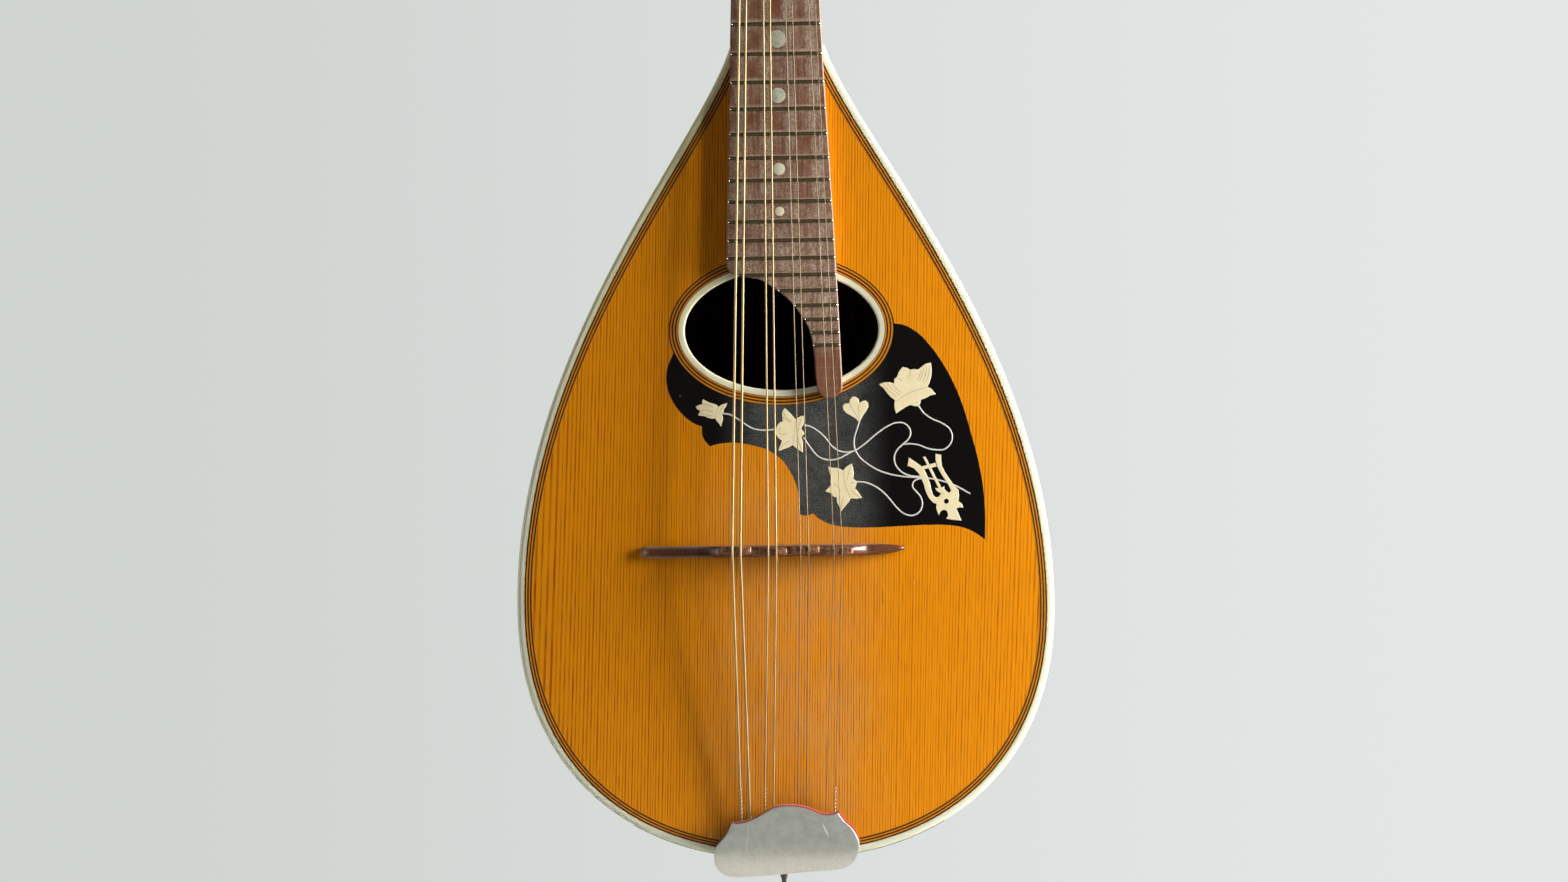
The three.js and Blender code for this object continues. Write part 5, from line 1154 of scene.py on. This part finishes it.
# In plan it is straight, with a round bass end and a long slim treble end.
round_end = np.sqrt(np.clip(1 - np.clip((-share - 0.474) / 0.027, 0, 1) ** 2, 0.02, 1))
towards_tip = np.clip((share - 0.34) / 0.16, 0, 1)
half = 2.25 * round_end * (1 - 0.72 * towards_tip ** 2.4)
back = 0.3 * towards_tip ** 2
turn_over = np.linspace(0, np.pi, 23)[None, :]
hollow = np.interp(share, [-0.492, -0.468, -0.26, -0.2], [0, 1, 1, 0])[:, None]
over = np.sin(turn_over) ** 0.32
dish = 1.6 * hollow * np.exp(-(np.cos(turn_over) / 0.5) ** 2)
section = np.stack([bridge_middle + bridge_long * share[:, None] + 0 * turn_over,
                    -0.05 - height[:, None] * over + dish,
                    bridge_z + back[:, None] + half[:, None] * np.cos(turn_over)], -1)
sole = section[:, ::-1] * (1, 0, 1) + (0, -0.02, 0)
bridge_skins = [grid(np.concatenate([section, sole[:, 1:-1]], 1), around=True, ends=True)]
pair_places = np.array([-18.4, -4.8, 7.4, 20.1])
around = np.linspace(0, 2 * np.pi, 48, endpoint=False)[None, :]
# Each step is a low block with rounded edges. Neighbours are set a little forward or back.
step_half, step_depth = 5.9, 1.5
block_x = step_half * np.sign(np.cos(around)) * np.abs(np.cos(around)) ** 0.25
block_z = step_depth * np.sign(np.sin(around)) * np.abs(np.sin(around)) ** 0.4
rise = np.array([(1, 0.98, -7.9), (0.99, 0.98, -8.8), (0.94, 0.92, -9.4), (0.85, 0.75, -9.66),
                 (0.5, 0.3, -9.76), (0.02, 0.02, -9.76)])
for x, shift in zip(pair_places, (0.5, -0.2, 0.35, -0.4)):
    block = np.stack([x + rise[:, :1] * block_x, rise[:, 2:] + 0 * around,
                      bridge_z + shift + rise[:, 1:2] * block_z], -1)
    bridge_skins.append(grid(block, around=True, ends=True))
fit(make("rosewood_bridge", bridge_skins, bridge_wood, 45), "instrument", "bridge_rosewood", "bridge")


# Tailpiece plate
# Nickel plated steel sheet, bent over the tail, with a hook punched up for each string. The
# cover hides it, so the CAD's own shape stays.
plated, tree, shader, place = finish("nickel_plated_sheet", "#C4C5BC", 0.4, 0.8)
axes = add(tree, "SeparateXYZ", {"Vector": place})
brushed = grained(tree, place, 1200.0, Detail=4.0)
matt = add(tree, "Mix", {"Factor": brushed, "A": "#D0D0D0", "B": "#FFFFFF"})
rough = add(tree, "MapRange", {"Value": brushed, "To": (0.3, 0.52)})
grey = two_toned(tree, place, 240.0, "#B4B7AE", "#E2E4D8", Detail=5.0)
# Low down, where it turns over the tail, it is painted warm cream: a painted reflection of warm light from
# below.
low = add(tree, "MapRange", {"Value": (axes, "Z"), "From": (-0.449, -0.461)}, interpolation_type="SMOOTHSTEP")
painted_warm_reflection = add(tree, "Mix", {"Factor": low, "A": grey, "B": "#FFFAEA"})
rubbed = add(tree, "Mix", {"Factor": 0.8, "A": painted_warm_reflection, "B": matt}, blend_type="MULTIPLY")
# Where marked, the bend and the walls are painted darker grey: painted shade.
edge = add(tree, "Attribute", attribute_name="edge")
painted_wall_shade = add(tree, "Mix", {"Factor": (edge, "Fac"), "A": rubbed, "B": "#7C807A"})
feed(tree, shader, {"Base Color": painted_wall_shade, "Roughness": rough})
refinish(plated, "tailpiece_plate")


# Tailpiece cover
# One pressing of nickel plated brass, with two horns towards the bridge. It is rounded down over
# the tail, has walls at its sides, and is open below its front edge, where the strings go in.
cover_view = {"corner": (700, 795), "zoom": 9.2235}
cover_front = [(292, 262), (340, 266), (390, 258), (450, 240), (510, 212), (560, 185), (610, 155),
               (660, 127), (720, 108), (790, 100), (850, 101), (920, 110), (990, 127), (1050, 150),
               (1100, 172), (1140, 182), (1190, 184), (1230, 178), (1277, 167)]
cover_rest = [(1277, 167), (1300, 200), (1330, 240), (1370, 275), (1410, 315), (1440, 360), (1462, 410),
              (1472, 460), (1468, 520), (1450, 570), (1420, 615), (1370, 652), (1285, 687), (1200, 695),
              (1000, 713), (800, 733), (600, 752), (450, 765), (345, 770), (290, 763), (240, 745),
              (190, 710), (160, 675), (140, 640), (133, 590), (134, 540), (145, 490), (170, 450),
              (200, 415), (230, 380), (262, 330), (292, 262)]
# The face lies 7.1 mm in front of the canted soundboard, so that a front view shows it 0.56 mm lower.
cover_y, lowered = -7.1, 0.56
bend_start, bend_radius = -106.8, 11


def on_tail(points):
    """Points of the canted face's own frame, turned about the line where it starts to slope."""
    x, y, z = np.moveaxis(np.asarray(points, float), -1, 0)
    return np.stack([x, y * math.cos(cant) - z * math.sin(cant),
                     cant_start + y * math.sin(cant) + z * math.cos(cant)], -1)


def along_cant(z):
    """The heights z of the face, as lengths down the cant."""
    return (z - cant_start + lowered) / math.cos(cant)


def cover_face(z):
    """The cover's face: flat, then rounded back on an 11 mm radius over the tail."""
    past = np.clip(bend_start - z, 0, 10.9)
    return cover_y + bend_radius - np.sqrt(bend_radius ** 2 - past ** 2)


front = flowing(close_up(cover_front, **cover_view), 0.5)
rest = flowing(close_up(cover_rest, **cover_view), 0.5)
cover_plan = np.vstack([front[:-1], rest[:-1]])
cover_plan = seen_at(cover_plan, np.interp(cover_plan[:, 1], [-462, -454], [10.5, 1.5]))
cover_plan[:, 1] = along_cant(cover_plan[:, 1])
at_front = np.arange(len(cover_plan)) < len(front) - 1
centre = np.array([0.6, -101.5])
# The front has a low lip, the sides reach almost down to the soundboard, and the wall over the tail is long.
over_tail = cover_plan[:, 1] < -110.6
depths = np.where(at_front, cover_face(cover_plan[:, 1]) + 1.1, np.where(over_tail, 12.5, -0.7))
bend_at = 0.984
rings = []
for scale in np.linspace(0.02, bend_at, 26):
    ring = centre + (cover_plan - centre) * scale
    rings.append(np.stack([ring[:, 0], cover_face(ring[:, 1]), ring[:, 1]], -1))
for turned_down in np.radians(np.linspace(15, 90, 6)):
    ring = centre + (cover_plan - centre) * (bend_at + (1 - bend_at) * math.sin(turned_down))
    y = cover_face(ring[:, 1]) + 0.6 * (1 - math.cos(turned_down))
    rings.append(np.stack([ring[:, 0], np.minimum(y, depths), ring[:, 1]], -1))
bend_y = rings[-1][:, 1]
wall_length = np.maximum(depths - bend_y, 0.05)
for share in (0.25, 0.5, 0.75, 1.0):
    rings.append(np.stack([cover_plan[:, 0], bend_y + wall_length * share, cover_plan[:, 1]], -1))
# The steep part of the bend and the walls are marked for painted shade.
edge = np.array([0] * 29 + [1] * 7)[:, None] + 0 * cover_plan[:, 0]
shell = grid(np.stack(rings), around=True, marks={"edge": edge})
shell["caps"] = [np.arange(len(cover_plan))[::-1]]
shell["points"] = on_tail(shell["points"])
cover = make("nickel_cover", shell, plated, 50)
wall = cover.modifiers.new("wall", "SOLIDIFY")
wall.thickness, wall.offset = 0.0007, -1
fit(cover, "cover", "nickel_sheet", "tailpiece_cover")

# Scratches in the plating show bright metal.
bright_nickel, tree, shader, place = finish("fresh_scratched_nickel", "#F2F0E8", 0.35, 0.6)
mixed = two_toned(tree, place, 2000.0, "#E6E4DA", "#FCFAF4")
feed(tree, shader, {"Base Color": mixed})
long_scratch = [(437, 270), (445, 370), (430, 470), (418, 560)]
short_scratch = [(1128, 264), (1160, 330), (1185, 385)]
scratches = []
for run, width in ((long_scratch, 0.06), (short_scratch, 0.3)):
    line = flowing(close_up(run, **cover_view), 0.5)
    z = along_cant(line[:, 1])
    line = on_tail(np.stack([line[:, 0], cover_face(z) - 0.01, z], -1))
    scratches.append(strand(line, width * np.sin(np.linspace(0.1, 3.0, len(line))), 0.02, 6))
fit(make("cover_scratches", scratches, bright_nickel), "cover", "nickel_sheet")


# Felt
# Red wool felt glued inside the cover, so that it doesn't rattle on the strings. It sticks out
# past the front edge by a millimetre.
felt_red, tree, shader, place = finish("red_wool_felt", "#B81A1E", 0.95,
                                       Sheen_Weight=0.5, Sheen_Roughness=0.4)
fuzz = grained(tree, place, 2600.0, Detail=4.0)
wool = add(tree, "Mix", {"Factor": fuzz, "A": "#8E1014", "B": "#DC3A3A"})
nap = add(tree, "Bump", {"Height": fuzz, "Strength": 0.5, "Distance": 0.0004})
feed(tree, shader, {"Base Color": wool, "Normal": nap})
felt_plan = cover_plan + (0.4, 0.38)
felt_plan = felt_plan[felt_plan[:, 1] > -104]
felt_profile = [(0.3, -4.2), (0, -4.5), (0, -5.6), (0.3, -5.95)]


def on_tail_plan(plan, y):
    """Points of a plan view at a depth in the canted face's own frame."""
    return on_tail(straight(plan, y))


fit(make("felt_pad", plate(felt_plan, felt_profile, on_tail_plan), felt_red),
    "cover", "red_felt", "cover_felt")


# End pin
# Turned from ebony and pushed into the tail block, a little askew. The strap's loop goes over
# its waist.
ebony, tree, shader, place = finish("turned_ebony", "#2A2320", 0.35, Coat_Weight=0.2)
wood = two_toned(tree, place, 700.0, "#1E1812", "#5E5040")
feed(tree, shader, {"Base Color": wood})
knob = [(2, 14), (2, -1.5), (4.2, -1.6), (4.5, -2.0), (3.9, -2.6), (2.9, -3.1), (2.7, -3.7),
        (2.9, -4.3), (3.8, -4.9), (4.4, -5.5), (4.5, -6.2), (4.2, -6.9), (3.3, -7.4), (1.9, -7.7),
        (1.35, -8.0), (1.35, -9.2), (1.0, -9.5), (0.95, -10.6), (0.8, -11.1), (0.4, -11.5)]
pin_y, pin_lean = 38.6, 0.29
pin = turned_piece(knob, "z", 36)
pin["points"][:, 0] += pin_lean * np.clip(pin["points"][:, 2], -8, 0)
pin["points"] += (0, pin_y, tail_end)
fit(make("ebony_pin", pin, ebony), "instrument", "ebony", "end_pin")


# Strings
# Four pairs: G and D are steel wound with bronze wire, A and E are plain steel. Each is looped
# over a hook, twisted on itself above the loop, and wound round its post.
wound_bronze, tree, shader, place = finish("bronze_wound_string", "#8A7460", 0.5, 0.85)
axes = add(tree, "SeparateXYZ", {"Vector": place})
# Windings of 0.3 mm.
coil = add(tree, "Math", {0: (axes, "Z"), 1: 2 * math.pi / 0.0003}, operation="MULTIPLY")
wave = add(tree, "Math", {0: coil}, operation="SINE")
ribs = add(tree, "Bump", {"Height": wave, "Strength": 0.06, "Distance": 0.0001})
metal = two_toned(tree, place, 90.0, "#86744F", "#B8A27A")
# The loops and twists are of the bare core wire, which is paler.
core = add(tree, "Attribute", attribute_name="core")
paler = add(tree, "Mix", {"Factor": (core, "Fac"), "A": metal, "B": "#C2B88E"})
feed(tree, shader, {"Base Color": paler, "Normal": ribs})
# The plain steel is coloured warm brown: a painted reflection of the amber soundboard. Its loops and twists
# show paler steel.
plain_steel, tree, shader, place = finish("plain_steel_string", "#6A6A70", 0.45, 0.9)
metal = two_toned(tree, place, 90.0, "#665640", "#907C64")
core = add(tree, "Attribute", attribute_name="core")
paler = add(tree, "Mix", {"Factor": (core, "Fac"), "A": metal, "B": "#D8D0C0"})
feed(tree, shader, {"Base Color": paler})

radii = np.repeat([0.46, 0.33, 0.18, 0.14], 2)
bridge_places = [x + side * 1.55 for x in pair_places for side in (-1, 1)]
hook_places = [x + side * 1.7 for x in (-16.4, -7.9, 4.7, 15.2) for side in (-1, 1)]
hook_z = tail_end + 7.5
hook_y = float(drop(hook_z)) - 0.3 - 2.1
loop_half, loop_length, loop_z = 1.5, 1.7, hook_z + 0.6
long_twists, twist_wire, twist_turning = ("g1", "d1", "e2"), 0.15, 84
# The posts are 4.84 mm thick where the strings are wound on, from 5.9 mm in front of the head.
post_radius, first_turn_y, winding_turns = 2.42, -5.9, 4.25
for name, row, radius, hook_x, bridge_x, nut_x in zip(key_names, key_rows, radii, hook_places, bridge_places,
                                                      nut_places):
    wound = name[0] in "gd"
    metal, slot = (wound_bronze, "bronze_wire") if wound else (plain_steel, "steel_wire")
    side, post_z = -1 if wound else 1, first_post + post_spacing * row
    wrap = post_radius + radius
    tangent = on_head([side * (post_across - wrap), first_turn_y, post_z])
    nut_y, bridge_y = -5.0 - radius, -9.8 - radius
    route = np.array([(hook_x, hook_y, loop_z), (bridge_x, bridge_y, bridge_z - 1.5),
                      (bridge_x, bridge_y, bridge_z + 1.5), (nut_x, nut_y, 0.2), (nut_x, nut_y, 4.6),
                      tangent])
    length = np.concatenate([[0], np.cumsum(np.linalg.norm(np.diff(route, axis=0), axis=1))])
    at = np.sort(np.concatenate([length, np.linspace(0, length[-1], 60)]))
    path = np.stack([np.interp(at, length, route[:, k]) for k in range(3)], -1)
    path = path[np.concatenate([[True], np.diff(at) > 1e-6])]
    # The loop: a turn round the hook, then the end twisted back up the string.
    loop_turn = np.linspace(0, 2 * np.pi, 25)
    loop = np.stack([hook_x + loop_half * np.sin(loop_turn), np.full(25, hook_y),
                     loop_z - loop_length + loop_length * np.cos(loop_turn)], -1)
    climb = np.linspace(0, 1, 240)
    toward = (route[1] - route[0]) / np.linalg.norm(route[1] - route[0])
    round_string = (radius + 0.12) * np.stack([np.cos(climb * twist_turning), np.sin(climb * twist_turning),
                                               0 * climb], -1)
    twist = route[0] + toward * climb[:, None] * (20 if name in long_twists else 9) + round_string
    skins = [strand(path, radius, sides=12, up=(1, 0, 0)), strand(loop, radius * 0.9, sides=8),
             strand(twist, twist_wire, sides=6, up=(0, 0, 1))]
    for skin, core in zip(skins, (0, 1, 1)):
        skin["marks"] = {"core": np.full(len(skin["points"]), float(core))}
    fit(make(f"wire_{name}", skins, metal), "instrument", slot, f"string_{name}")
    turned = np.linspace(0, winding_turns * 2 * np.pi, 180)
    # The wound strings' turns bed into each other a little.
    pitch = 2.05 * radius * (0.9 if wound else 1.0)
    angle = (np.pi if side > 0 else 0.0) - side * turned
    winding = np.stack([wrap * np.cos(angle), first_turn_y + turned / (2 * np.pi) * pitch,
                        wrap * np.sin(angle)], -1)
    winding = at_post(strand(winding, radius, sides=8, up=(0, 1, 0)), side, post_z)
    fit(make(f"winding_{name}", winding, metal), f"post_{name}", slot)
